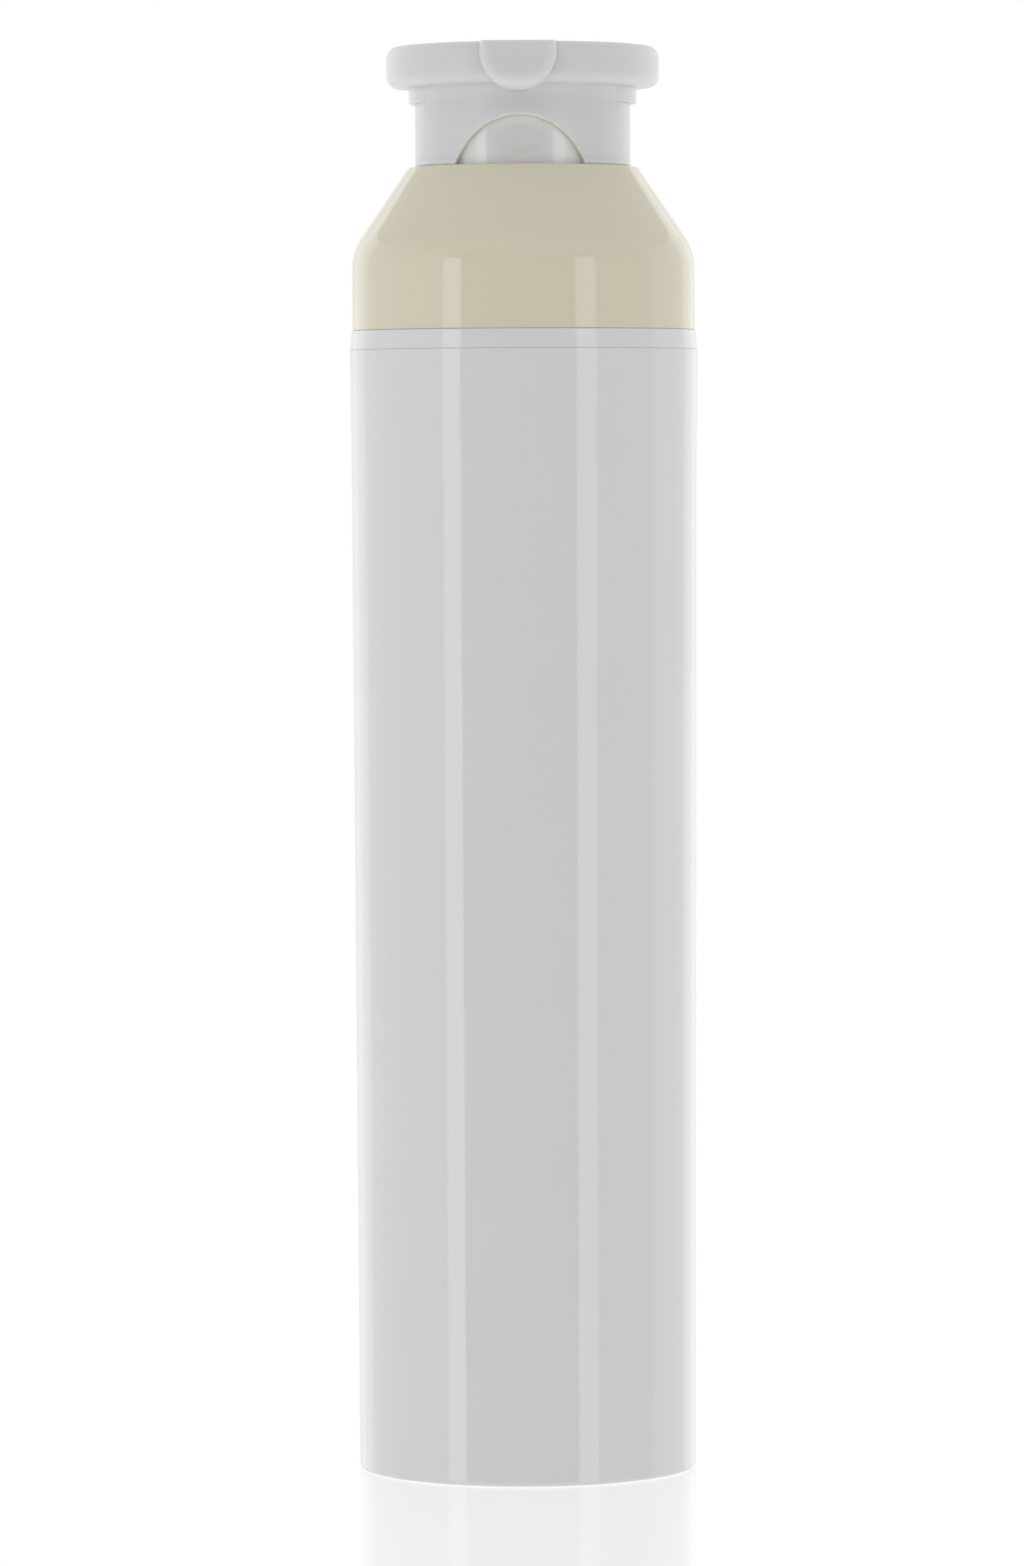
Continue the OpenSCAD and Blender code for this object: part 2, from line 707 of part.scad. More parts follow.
bottle_body();
base_plug();
follower_piston();
neck_gasket();
pump_closure();
shoulder_collar();
pump_housing();
housing_gasket();
chaplet();
ball_cage();
inlet_ball();
return_spring();
stem();
stem_plug();
pump_piston();
actuator_core();
actuator_shell();
nozzle_insert();
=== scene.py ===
# %% [markdown]
# # An airless pump bottle
# The bottle is a straight white tube. A small pump under the finger disc draws cream out of it,
# and a piston in the tube follows the cream up, so no air ever reaches it.
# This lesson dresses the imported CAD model: it rebuilds each moulded piece with soft edges,
# gives each one its own plastic, and lights them as a product photographer would.
# First comes the frame, which holds the exact CAD pieces and the bodies that move.

# %% Load the frame
import math

import bmesh
import bpy
from mathutils import Matrix, Vector


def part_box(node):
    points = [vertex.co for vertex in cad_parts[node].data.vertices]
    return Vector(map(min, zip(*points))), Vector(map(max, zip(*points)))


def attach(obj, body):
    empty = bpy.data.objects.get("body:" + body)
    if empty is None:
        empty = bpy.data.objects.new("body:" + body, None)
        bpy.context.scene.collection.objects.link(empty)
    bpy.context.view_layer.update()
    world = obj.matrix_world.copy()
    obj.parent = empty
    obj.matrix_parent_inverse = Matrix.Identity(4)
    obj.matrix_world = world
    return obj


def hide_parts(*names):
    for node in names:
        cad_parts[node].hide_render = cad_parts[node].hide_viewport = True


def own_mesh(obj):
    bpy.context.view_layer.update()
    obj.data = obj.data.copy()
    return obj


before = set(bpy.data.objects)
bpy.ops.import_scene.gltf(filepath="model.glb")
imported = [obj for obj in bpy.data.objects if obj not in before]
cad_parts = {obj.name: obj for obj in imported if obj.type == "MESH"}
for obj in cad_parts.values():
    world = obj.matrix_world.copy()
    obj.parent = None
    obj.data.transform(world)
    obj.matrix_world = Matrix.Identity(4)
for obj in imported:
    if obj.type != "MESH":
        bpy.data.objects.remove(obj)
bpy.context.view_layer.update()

# %% [markdown]
# ## Sizes that the pieces share
# Each value repeats a size of the CAD model, in millimetres, so that every dressed piece lies
# where its solid lies. Heights come from the frame itself where a node's box gives them.

# %% Shared sizes
MM = 0.001


def low(node):
    """Lowest height of a CAD node, in millimetres."""
    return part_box(node)[0].z / MM


def high(node):
    """Highest height of a CAD node, in millimetres."""
    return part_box(node)[1].z / MM


SHOULDER_Z = low("pump_closure")
FLANGE_TOP = low("shoulder_collar")
COLLAR_TOP = high("shoulder_collar")
DECK_Z = high("neck_gasket")
DECK_TOP = low("housing_gasket")
HEAD_TOP = high("actuator_shell")
BORE_R = 17.8
NECK_R = 17.45
SKIRT_R = 12.28
LUG_Z = 156.0
DISC_R = 15.55
DISC_Z = 157.85
FIT = 0.05
print("shoulder", round(SHOULDER_Z, 3), "collar top", round(COLLAR_TOP, 3), "head top", round(HEAD_TOP, 3))

# %% [markdown]
# ## The camera
# The photograph was taken from about 0.9 m with a long lens, a little below the finger disc,
# so the foot shows as a shallow curve. A long focal length keeps the tube's sides parallel.
# The distance, height and tilt were found from the curves of the foot and the rings.

# %% Camera
CAMERA_DISTANCE = 0.870
CAMERA_HEIGHT = 0.1169
CAMERA_AZIMUTH = math.radians(1.8)
CAMERA_PITCH = math.radians(-2.53)
CAMERA_YAW = math.radians(0.10)
CAMERA_ROLL = math.radians(0.23)

camera_data = bpy.data.cameras.new("Camera")
camera_data.sensor_fit = "VERTICAL"
camera_data.sensor_height = 36
camera_data.lens = 174.7
camera_data.clip_start = 0.01
camera = bpy.data.objects.new("Camera", camera_data)
bpy.context.scene.collection.objects.link(camera)
bpy.context.scene.camera = camera
camera.location = (
    CAMERA_DISTANCE * math.sin(CAMERA_AZIMUTH),
    -CAMERA_DISTANCE * math.cos(CAMERA_AZIMUTH),
    CAMERA_HEIGHT,
)
turn = Matrix.Rotation(CAMERA_AZIMUTH + CAMERA_YAW, 4, "Z")
tilt = Matrix.Rotation(math.pi / 2 + CAMERA_PITCH, 4, "X")
roll = Matrix.Rotation(-CAMERA_ROLL, 4, "Z")
camera.rotation_euler = (turn @ tilt @ roll).to_euler()
print("camera at", [round(v, 4) for v in camera.location])

# %% [markdown]
# ## Node helpers
# The light and every material are trees of nodes, which take many lines to wire by hand.
# Three short functions do the wiring: one adds a node and sets its inputs by name, one does
# arithmetic, and one mixes two shaders.

# %% Node helpers


def add(tree, kind, **values):
    """Adds a shader node and sets its inputs by name, with _ for a space."""
    node = tree.nodes.new("ShaderNode" + kind)
    for name, value in values.items():
        node.inputs[name.replace("_", " ")].default_value = value
    return node


def math_node(tree, operation, a, b=0):
    """Adds one Math node, fed by sockets or numbers."""
    node = add(tree, "Math")
    node.operation = operation
    for socket, value in zip(node.inputs, (a, b)):
        if isinstance(value, bpy.types.NodeSocket):
            tree.links.new(value, socket)
        else:
            socket.default_value = value
    return node.outputs[0]


def mix_shaders(tree, share, first, second):
    """Mixes two shaders. A share of 0 gives the first and 1 the second."""
    mix = add(tree, "MixShader")
    for socket, value in zip(mix.inputs, (share, first, second)):
        tree.links.new(value, socket)
    return mix.outputs[0]


print("node helpers ready")

# %% [markdown]
# ## The light
# A glossy white tube shows its studio: two tall soft boxes stand beside the camera and draw the
# two long highlights, and a white wall behind the bottle wraps round its edges. The boxes end at
# 16 degrees of elevation and the wall at 24, which the ends of the reflections tell, and the
# white table takes over below the horizon.
# Lamps could do this, but area lamps would stand in other views. So the world itself
# holds the studio, as a ramp of brightness round the horizon, and camera rays see plain white.

# %% World
WORLD_PEAK = 3.0
BOXES_TOP = 16
WALL_TOP = 24
TABLE_EDGE = -12
LEFT_BOX = (-56.1, -42.2)
RIGHT_BOX = (34.3, 48.8)
STUDIO = [
    # degrees from the camera, brightness from there on
    (-180, 1.15),
    (-156, 1.50),
    (-130.2, 1.10),
    (-95, 1.08),
    (LEFT_BOX[0], 2.58),
    (LEFT_BOX[1], 0.36),
    (RIGHT_BOX[0], 2.12),
    (RIGHT_BOX[1], 0.70),
    (95, 1.12),
    (133.3, 1.50),
    (158, 1.15),
]
ABOVE_BOXES = [row for row in STUDIO if not LEFT_BOX[0] <= row[0] <= RIGHT_BOX[0]]
ABOVE_BOXES = sorted(ABOVE_BOXES + [(LEFT_BOX[0], 0.40)])
CEILING = 0.86
TABLE = 1.0

world = bpy.data.worlds.new("Studio")
bpy.context.scene.world = world
world.use_nodes = True
sky = world.node_tree
sky.nodes.clear()


def sectors(levels, share):
    """A ring of brightness sectors, read at a share of the full turn."""
    ramp = add(sky, "ValToRGB")
    ramp.color_ramp.interpolation = "CONSTANT"
    sky.links.new(share, ramp.inputs[0])
    stops = ramp.color_ramp.elements
    stops.remove(stops[1])
    for i, (angle, level) in enumerate(levels):
        stop = stops[0] if i == 0 else stops.new(angle / 360 + 0.5)
        stop.color = [level / WORLD_PEAK] * 3 + [1]
    return ramp.outputs["Color"]


def from_elevation(below, above, elevation, blur=1.0):
    """Changes from one brightness to another at an elevation in degrees."""
    start, end = (math.sin(math.radians(elevation + d)) for d in (-blur / 2, blur / 2))
    step = add(sky, "MapRange", From_Min=start, From_Max=end)
    sky.links.new(z, step.inputs["Value"])
    mix = add(sky, "Mix")
    mix.data_type = "FLOAT"
    sky.links.new(step.outputs[0], mix.inputs["Factor"])
    for name, value in (("A", below), ("B", above)):
        if isinstance(value, bpy.types.NodeSocket):
            sky.links.new(value, mix.inputs[name])
        else:
            mix.inputs[name].default_value = value / WORLD_PEAK
    return mix.outputs["Result"]


direction = add(sky, "SeparateXYZ")
sky.links.new(add(sky, "TexCoord").outputs["Generated"], direction.inputs[0])
x, y, z = direction.outputs
azimuth = math_node(sky, "ARCTAN2", x, math_node(sky, "MULTIPLY", y, -1))
azimuth = math_node(sky, "SUBTRACT", azimuth, CAMERA_AZIMUTH)
share = math_node(sky, "DIVIDE", azimuth, 2 * math.pi)
share = math_node(sky, "FRACT", math_node(sky, "ADD", share, 0.5))
studio = from_elevation(sectors(STUDIO, share), sectors(ABOVE_BOXES, share), BOXES_TOP)
studio = from_elevation(studio, CEILING, WALL_TOP)
studio = from_elevation(TABLE, studio, TABLE_EDGE, 2.0)

rays = add(sky, "LightPath").outputs
seen = math_node(sky, "MAXIMUM", rays["Is Camera Ray"], rays["Is Transmission Ray"])
seen = math_node(sky, "MAXIMUM", seen, rays["Is Singular Ray"])  # the floor's mirror
studio_light = add(sky, "Background", Strength=WORLD_PEAK)
sky.links.new(studio, studio_light.inputs["Color"])
plain_white = add(sky, "Background", Color=(1, 1, 1, 1))
surface = mix_shaders(sky, seen, studio_light.outputs[0], plain_white.outputs[0])
sky.links.new(surface, add(sky, "OutputWorld").inputs["Surface"])
bpy.context.scene.view_settings.view_transform = "Standard"
print("studio with", len(STUDIO), "sectors")

# %% [markdown]
# ## The floor
# The bottle stands on a polished white sheet that mirrors its foot faintly.
# A mirror-like coat over white does that: its reflection grows towards grazing angles by itself.
# The camera sees the sheet's white as partly glowing, so that it meets the background without
# an edge, and the part that doesn't glow keeps the bottle's soft shadow. Seen from below the
# sheet is clear, so that the bottle's foot can be looked at.

# %% Floor
FLOOR_SIZE = 6.0
FLOOR_GAP = 0.0001
SHADOW_SHARE = 0.16
GLOW = 0.92
half = FLOOR_SIZE / 2
corners = [(-half, -half, 0), (half, -half, 0), (half, half, 0), (-half, half, 0)]
floor_mesh = bpy.data.meshes.new("floor")
floor_mesh.from_pydata(corners, [], [(0, 1, 2, 3)])
floor = bpy.data.objects.new("floor", floor_mesh)
bpy.context.scene.collection.objects.link(floor)
floor.location.z = -FLOOR_GAP
floor.visible_glossy = False

floor_material = bpy.data.materials.new("polished white sheet")
floor_material.use_nodes = True
sheet = floor_material.node_tree
sheet.nodes.clear()
lit = add(sheet, "Emission", Strength=TABLE).outputs[0]
shaded = add(sheet, "BsdfDiffuse", Color=[SHADOW_SHARE] * 3 + [1]).outputs[0]
glow = add(sheet, "Emission", Strength=GLOW).outputs[0]
matt = add(sheet, "AddShader")
sheet.links.new(shaded, matt.inputs[0])
sheet.links.new(glow, matt.inputs[1])
mirror = add(sheet, "BsdfGlossy", Roughness=0.0, Color=(1, 1, 1, 1)).outputs[0]
fresnel = add(sheet, "Fresnel", IOR=1.33).outputs[0]
polished = mix_shaders(sheet, fresnel, matt.outputs[0], mirror)
camera_ray = add(sheet, "LightPath").outputs["Is Camera Ray"]
by_ray = mix_shaders(sheet, camera_ray, lit, polished)
from_below = add(sheet, "NewGeometry").outputs["Backfacing"]
clear = add(sheet, "BsdfTransparent").outputs[0]
surface = mix_shaders(sheet, from_below, by_ray, clear)
sheet.links.new(surface, add(sheet, "OutputMaterial").inputs["Surface"])
floor.data.materials.append(floor_material)
print("floor", FLOOR_SIZE, "m wide")

# %% [markdown]
# ## Plastics
# All the pieces are injection mouldings, so one recipe serves them: a base colour that drifts
# very slightly, as masterbatch colour does, a roughness that comes from the mould's polish,
# and a bump. A polished mould leaves only a long, faint waviness, and a satin mould leaves a fine
# grain. Patterns read Object coordinates, so they stay put when the piece moves.

# %% Plastic recipe
COLOUR_DRIFT = 0.012
POLISH_DRIFT = 0.04


def linear(*rgb):
    """Linear colour from display values of 0 to 255."""
    return [(v / 255 / 12.92) if v <= 10 else ((v / 255 + 0.055) / 1.055) ** 2.4 for v in rgb]


def new_material(name):
    """A new material, its node tree and its main shader."""
    material = bpy.data.materials.new(name)
    material.use_nodes = True
    return material, material.node_tree, material.node_tree.nodes["Principled BSDF"]


def noise(tree, scale, detail):
    """A noise pattern in the piece's own coordinates."""
    pattern = add(tree, "TexNoise", Scale=scale, Detail=detail)
    tree.links.new(add(tree, "TexCoord").outputs["Object"], pattern.inputs["Vector"])
    return pattern.outputs["Fac"]


def drift(tree, shader, pattern, colours, roughness, spread):
    """Lets a shader's colour and roughness follow a pattern."""
    tint = add(tree, "ValToRGB")
    for stop, colour in zip(tint.color_ramp.elements, colours):
        stop.color = [min(1, v) for v in colour] + [1]
    smoothest, roughest = roughness * (1 - spread), roughness * (1 + spread)
    polish = add(tree, "MapRange", To_Min=smoothest, To_Max=roughest)
    tree.links.new(pattern, tint.inputs["Fac"])
    tree.links.new(pattern, polish.inputs["Value"])
    tree.links.new(tint.outputs["Color"], shader.inputs["Base Color"])
    tree.links.new(polish.outputs[0], shader.inputs["Roughness"])


def plastic(name, rgb, roughness, grain, grain_depth, ior=1.5, glow_depth=0):
    """A moulded plastic. grain is the bump's cell size in millimetres, and grain_depth its depth.
    glow_depth is how far light spreads inside, in millimetres."""
    material, tree, shader = new_material(name)
    shader.inputs["IOR"].default_value = ior
    if glow_depth:
        shader.inputs["Subsurface Weight"].default_value = 0.6
        shader.inputs["Subsurface Radius"].default_value = (1.0, 0.85, 0.65)
        shader.inputs["Subsurface Scale"].default_value = glow_depth * MM
    gains = (1 - COLOUR_DRIFT, 1 + COLOUR_DRIFT)
    colours = [[v * gain for v in linear(*rgb)] for gain in gains]
    drift(tree, shader, noise(tree, 70, 3), colours, roughness, POLISH_DRIFT)
    bump = add(tree, "Bump", Strength=1, Distance=grain_depth * MM)
    tree.links.new(noise(tree, 1 / (grain * MM), 2), bump.inputs["Height"])
    tree.links.new(bump.outputs["Normal"], shader.inputs["Normal"])
    return material


def paint_light_near(material, rgb, near, far, centre=(0, 0, 0), weights=(1, 1, 1), below=1000):
    """Paints light into the colour: blends it towards rgb between two distances in millimetres from a
    centre.
    weights says how much X, Y and Z count, so a 0 makes the centre a line or a plane.
    Nothing changes above the height below."""
    tree = material.node_tree
    shader = tree.nodes["Principled BSDF"]
    was = shader.inputs["Base Color"].links[0].from_socket
    place = add(tree, "TexCoord").outputs["Object"]
    vector = place
    for operation, values in (("SUBTRACT", [v * MM for v in centre]), ("MULTIPLY", weights)):
        step = add(tree, "VectorMath")
        step.operation = operation
        step.inputs[1].default_value = values
        tree.links.new(vector, step.inputs[0])
        vector = step.outputs[0]
    away = add(tree, "VectorMath")
    away.operation = "LENGTH"
    tree.links.new(vector, away.inputs[0])
    reach = add(tree, "MapRange", From_Min=near * MM, From_Max=far * MM)
    tree.links.new(away.outputs["Value"], reach.inputs["Value"])
    height = add(tree, "SeparateXYZ")
    tree.links.new(place, height.inputs[0])
    lower = math_node(tree, "LESS_THAN", height.outputs["Z"], below * MM)
    amount = math_node(tree, "MULTIPLY", reach.outputs[0], lower)
    blend = add(tree, "Mix")
    blend.data_type = "RGBA"
    tree.links.new(amount, blend.inputs["Factor"])
    tree.links.new(was, blend.inputs[6])
    blend.inputs[7].default_value = linear(*rgb) + [1]
    tree.links.new(blend.outputs[2], shader.inputs["Base Color"])


gloss_white = plastic("polished white", (211, 211, 213), 0.07, 9.0, 0.004)
satin_white = plastic("satin white", (209, 209, 211), 0.36, 0.12, 0.0012, glow_depth=1.5)
cream_gloss = plastic("polished cream", (209, 203, 181), 0.07, 9.0, 0.004)
core_white = plastic("polished core white", (214, 212, 210), 0.05, 9.0, 0.002, glow_depth=1.5)
pump_white = plastic("moulded white", (222, 222, 220), 0.32, 0.3, 0.001)
natural_plastic = plastic("milky natural", (214, 216, 212), 0.30, 0.4, 0.001)
seal = plastic("soft grey seal", (188, 190, 192), 0.55, 0.2, 0.002, ior=1.45)
# Painted light: the base colour is lightened where shade falls in the narrow gaps, standing in for light
# through the thin walls, and warmed on the skirt's inner wall as painted bounce light from the cream
# collar. This is done on the skirt's inner wall, its lower edge, the corner under the disc, and the sleeve
# towards the arch's edges
paint_light_near(satin_white, (248, 240, 224), SKIRT_R - 0.04, SKIRT_R - 0.12, weights=(1, 1, 0), below=LUG_Z)
paint_light_near(satin_white, (254, 252, 246), 0.75, 0.1, (0, 0, low("actuator_shell")), (0, 0, 1))
paint_light_near(satin_white, (220, 220, 221), 1.6, 0.2, (0, 0, DISC_Z - 0.45), (0, 0, 1))
paint_light_near(core_white, (244, 243, 241), 2.6, 7.5, (0, 0, COLLAR_TOP + 2.9), (1, 0, 2))
print("plastics:", [m.name for m in bpy.data.materials])

# %% [markdown]
# ## Steel
# The return spring and the inlet ball are bright stainless steel. Drawn wire keeps fine lines
# along its length, and a ball is polished in every direction, so both get a soft uneven polish.

# %% Steel recipe
STEEL_TONES = ((176, 178, 182), (206, 208, 211))


def steel_finish(name, roughness, scale):
    """Bright steel whose polish varies in fine patches of the given scale."""
    material, tree, shader = new_material(name)
    shader.inputs["Metallic"].default_value = 1
    colours = [linear(*rgb) for rgb in STEEL_TONES]
    drift(tree, shader, noise(tree, scale, 4), colours, roughness, 0.3)
    return material


wire_steel = steel_finish("drawn steel wire", 0.28, 900)
ball_steel = steel_finish("polished steel ball", 0.12, 400)
print("steels:", wire_steel.name, ball_steel.name)

# %% [markdown]
# ## One node tree for every turned piece
# Nearly all the pieces are round about the bottle's axis, so each is an outline swept round.
# A Spin in mesh code would do, but one Geometry Nodes tree does it for all of them: the outline
# becomes a curve, a small circle round the axis carries it, and the seam at the axis is merged.
# The outline is drawn once, in radius and height, with a rounding for each corner.

# %% Turned-part tree
PATH_RADIUS = 1.0


def new_tree(name, **inputs):
    """Starts a node tree with the named inputs and one output, the piece."""
    tree = bpy.data.node_groups.new(name, "GeometryNodeTree")
    for label, kind in inputs.items():
        label = label.replace("_", " ")
        tree.interface.new_socket(label, in_out="INPUT", socket_type="NodeSocket" + kind)
    tree.interface.new_socket("Piece", in_out="OUTPUT", socket_type="NodeSocketGeometry")
    return tree, tree.nodes.new, tree.links.new


def end_tree(geometry):
    """Ends the tree in hand: real faces in place of instances, the material and the output."""
    realize, paint = make("GeometryNodeRealizeInstances"), make("GeometryNodeSetMaterial")
    wire(geometry, realize.inputs["Geometry"])
    wire(realize.outputs["Geometry"], paint.inputs["Geometry"])
    wire(given.outputs["Finish"], paint.inputs["Material"])
    wire(paint.outputs["Geometry"], make("NodeGroupOutput").inputs["Piece"])


turned_tree, make, wire = new_tree(
    "Turned part", Outline="Geometry", Facets_around="Int", Path_radius="Float", Finish="Material"
)
given, to_curve = make("NodeGroupInput"), make("GeometryNodeMeshToCurve")
circle, upright = make("GeometryNodeCurvePrimitiveCircle"), make("GeometryNodeSetCurveNormal")
sweep, weld = make("GeometryNodeCurveToMesh"), make("GeometryNodeMergeByDistance")
upright.mode = "Z_UP"
weld.inputs["Distance"].default_value = 1e-7
wire(given.outputs["Outline"], to_curve.inputs["Mesh"])
wire(given.outputs["Facets around"], circle.inputs["Resolution"])
wire(given.outputs["Path radius"], circle.inputs["Radius"])
wire(circle.outputs["Curve"], upright.inputs["Curve"])
wire(upright.outputs["Curve"], sweep.inputs["Curve"])
wire(to_curve.outputs["Curve"], sweep.inputs["Profile Curve"])
wire(sweep.outputs["Mesh"], weld.inputs["Geometry"])
end_tree(weld.outputs["Geometry"])
print("tree inputs:", [i.name for i in turned_tree.interface.items_tree if i.in_out == "INPUT"])

# %% [markdown]
# ## From corners to a soft outline
# A moulded edge is never knife sharp. Each corner is given as radius, height and rounding, and
# becomes an arc. Two support points stand just outside each arc, so that the smooth
# shading of the arc doesn't run out into the flat wall beside it.

# %% Outline and turning helpers
ARC_STEP = math.radians(12)


def soft_outline(corners, closed=True):
    """Points of an outline whose corners, each (radius, height, rounding), are rounded off."""
    count = len(corners)
    points = []
    for i, (r, z, fillet) in enumerate(corners):
        here = Vector((r, z))
        ends = not closed and i in (0, count - 1)
        if not fillet or ends:
            points.append(here)
            continue
        back = Vector(corners[i - 1][:2]) - here
        ahead = Vector(corners[(i + 1) % count][:2]) - here
        turn_angle = math.pi - back.angle(ahead)
        reach = fillet * math.tan(turn_angle / 2)
        reach = min(reach, 0.49 * back.length, 0.49 * ahead.length)
        radius = reach / math.tan(turn_angle / 2)
        start, end = here + back.normalized() * reach, here + ahead.normalized() * reach
        inwards = (back.normalized() + ahead.normalized()).normalized()
        centre = here + inwards * (radius / math.cos(turn_angle / 2))
        steps = max(2, math.ceil(turn_angle / ARC_STEP))
        support = min(0.35 * radius, 0.3 * reach + 0.02)
        if back.length > 2.2 * (reach + support):
            points.append(start + back.normalized() * support)
        side = (start - centre).cross(end - centre)
        for k in range(steps + 1):
            angle = math.copysign(turn_angle * k / steps, side)
            points.append(centre + Matrix.Rotation(angle, 2) @ (start - centre))
        if ahead.length > 2.2 * (reach + support):
            points.append(end + ahead.normalized() * support)
    return points


def as_piece(name, mesh):
    """Links a new object for the mesh, at the origin."""
    piece = bpy.data.objects.new(name, mesh)
    bpy.context.scene.collection.objects.link(piece)
    return piece


def applied(piece):
    """Turns a piece's live modifiers into its plain mesh, with its faces pointing outwards."""
    graph = bpy.context.evaluated_depsgraph_get()
    mesh = bpy.data.meshes.new_from_object(piece.evaluated_get(graph))
    piece.modifiers.clear()
    old, piece.data = piece.data, mesh
    bpy.data.meshes.remove(old)
    work = bmesh.new()
    work.from_mesh(mesh)
    bmesh.ops.remove_doubles(work, verts=work.verts, dist=1e-7)
    bmesh.ops.recalc_face_normals(work, faces=work.faces)
    if work.calc_volume(signed=True) < 0:
        bmesh.ops.reverse_faces(work, faces=work.faces)
    loose = sum(1 for edge in work.edges if not edge.is_manifold)
    work.to_mesh(mesh)
    work.free()
    if loose:
        print("  open or crowded edges in", piece.name, loose)
    return piece


def set_inputs(modifier, values):
    """Sets a node modifier's inputs, found by name and set by identifier."""
    for item in modifier.node_group.interface.items_tree:
        if item.item_type == "SOCKET" and item.in_out == "INPUT" and item.name in values:
            modifier[item.identifier] = values[item.name]


def turned(name, corners, finish, facets=192, closed=True, points=None):
    """A piece turned round the axis from rounded corners, in millimetres."""
    outline = points or soft_outline(corners, closed)
    mesh = bpy.data.meshes.new(name)
    edges = [(i, i + 1) for i in range(len(outline) - 1)]
    if closed:
        edges.append((len(outline) - 1, 0))
    mesh.from_pydata([((r - PATH_RADIUS) * MM, -z * MM, 0) for r, z in outline], edges, [])
    piece = as_piece(name, mesh)
    modifier = piece.modifiers.new("Turned part", "NODES")
    modifier.node_group = turned_tree
    set_inputs(modifier, {"Facets around": facets, "Path radius": PATH_RADIUS * MM, "Finish": finish})
    return applied(piece)


def rod(name, r, bottom, top, finish, facets=96, rounding=0):
    """A solid round rod on the axis, between two heights."""
    corners = [(0, bottom, 0), (r, bottom, rounding), (r, top, rounding), (0, top, 0)]
    return turned(name, corners, finish, facets, closed=False)


def from_tree(name, tree, values):
    """A piece that a node tree makes by itself, from its inputs' values."""
    mesh = bpy.data.meshes.new(name)
    mesh.from_pydata([(0, 0, 0)], [], [])
    piece = as_piece(name, mesh)
    modifier = piece.modifiers.new(tree.name, "NODES")
    modifier.node_group = tree
    set_inputs(modifier, values)
    return applied(piece)


def shifted(piece, x, y, z=0):
    """Moves a piece's mesh by millimetres."""
    piece.data.transform(Matrix.Translation((x * MM, y * MM, z * MM)))
    return piece


def repaint(piece, finish):
    """Gives the whole piece one material, also where a cutting tool left its own."""
    piece.data.materials.clear()
    piece.data.materials.append(finish)


def shade(piece, angle=32):
    """Smooth shading that stays crisp where two faces meet at more than the angle."""
    piece.data.shade_smooth()
    piece.data.set_sharp_from_angle(angle=math.radians(angle))


def carve(piece, tool, operation="DIFFERENCE"):
    """Cuts a tool from a piece, or joins it on, and deletes the tool."""
    modifier = piece.modifiers.new("Carve", "BOOLEAN")
    modifier.operation = operation
    modifier.solver = "EXACT"
    modifier.object = tool
    applied(piece)
    bpy.data.objects.remove(tool)
    return piece


def settle(piece, body, slot, *nodes):
    """Ends a piece's making: its shading, its body and the nodes that it stands for. slot is not used."""
    shade(piece)
    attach(piece, body)
    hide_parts(*nodes)
    low_z = min(v.co.z for v in piece.data.vertices) / MM
    high_z = max(v.co.z for v in piece.data.vertices) / MM
    print(f"{piece.name}: {len(piece.data.polygons)} faces, z {low_z:.3f} to {high_z:.3f}")


print("helpers ready")

# %% [markdown]
# ## The tube
# The body is one long moulding: it widens by under half a millimetre from the foot up, so that it
# leaves its mould, and flares very slightly at the shoulder. Over the shoulder stands a
# thinner neck with a snap bead. A plain cylinder would miss the way the highlights lean,
# so the outside is an outline with many heights, each from the draft and the flare.

# %% Tube
FOOT_R = 19.40
SIDE_DRAFT = 0.0037
FLARE = 0.13
FLARE_FROM = 108.0


def tube_r(z):
    """Radius of the tube's outside at a height."""
    flare = max(0, (z - FLARE_FROM) / (SHOULDER_Z - FLARE_FROM))
    return FOOT_R + SIDE_DRAFT * z + FLARE * flare ** 2


BORE_TOP = 125.8
NECK_TOP = low("neck_gasket")
NECK_BORE_R = 16.2
BEAD = 0.25
NECK_BEAD_Z = (SHOULDER_Z + NECK_TOP) / 2
PLUG_BEAD_Z = high("base_plug") - 1.4


def bead_corners(r, z, size, up=True):
    """Corners of a snap bead, or with a negative size of its groove, at a wall."""
    height = 0.6 + abs(size) - BEAD
    flat = height - abs(size)
    steps = [(r, z - height), (r + size, z - flat), (r + size, z + flat), (r, z + height)]
    steps = [(*step, 0.1) for step in steps]
    return steps if up else steps[::-1]


tube_corners = [(BORE_R, 0, 0.15), (FOOT_R, 0, 0.4)]
tube_corners += [(tube_r(z), z, 0) for z in range(4, 127, 6)]
tube_corners += [
    (tube_r(127.2), 127.2, 0),
    (tube_r(SHOULDER_Z) - 0.005, SHOULDER_Z, 0.05),
    (NECK_R, SHOULDER_Z, 0),
]
tube_corners += bead_corners(NECK_R, NECK_BEAD_Z, BEAD)
tube_corners += [(NECK_R, NECK_TOP, 0.4), (NECK_BORE_R, NECK_TOP, 0.15)]
tube_corners += [(NECK_BORE_R, BORE_TOP + BORE_R - NECK_BORE_R, 0.3), (BORE_R, BORE_TOP, 0.3)]
tube_corners += bead_corners(BORE_R, PLUG_BEAD_Z, BEAD + FIT, up=False)
tube = turned("tube", tube_corners, gloss_white, facets=256)
settle(tube, "bottle", "gloss_white", "bottle_body")

# %% [markdown]
# ## The base plug
# A shallow cup snaps into the foot. Its vent lets air in under the piston, and must stay open.
# The cup is turned with the vent as its inner wall, so the hole needs no cut of its own.

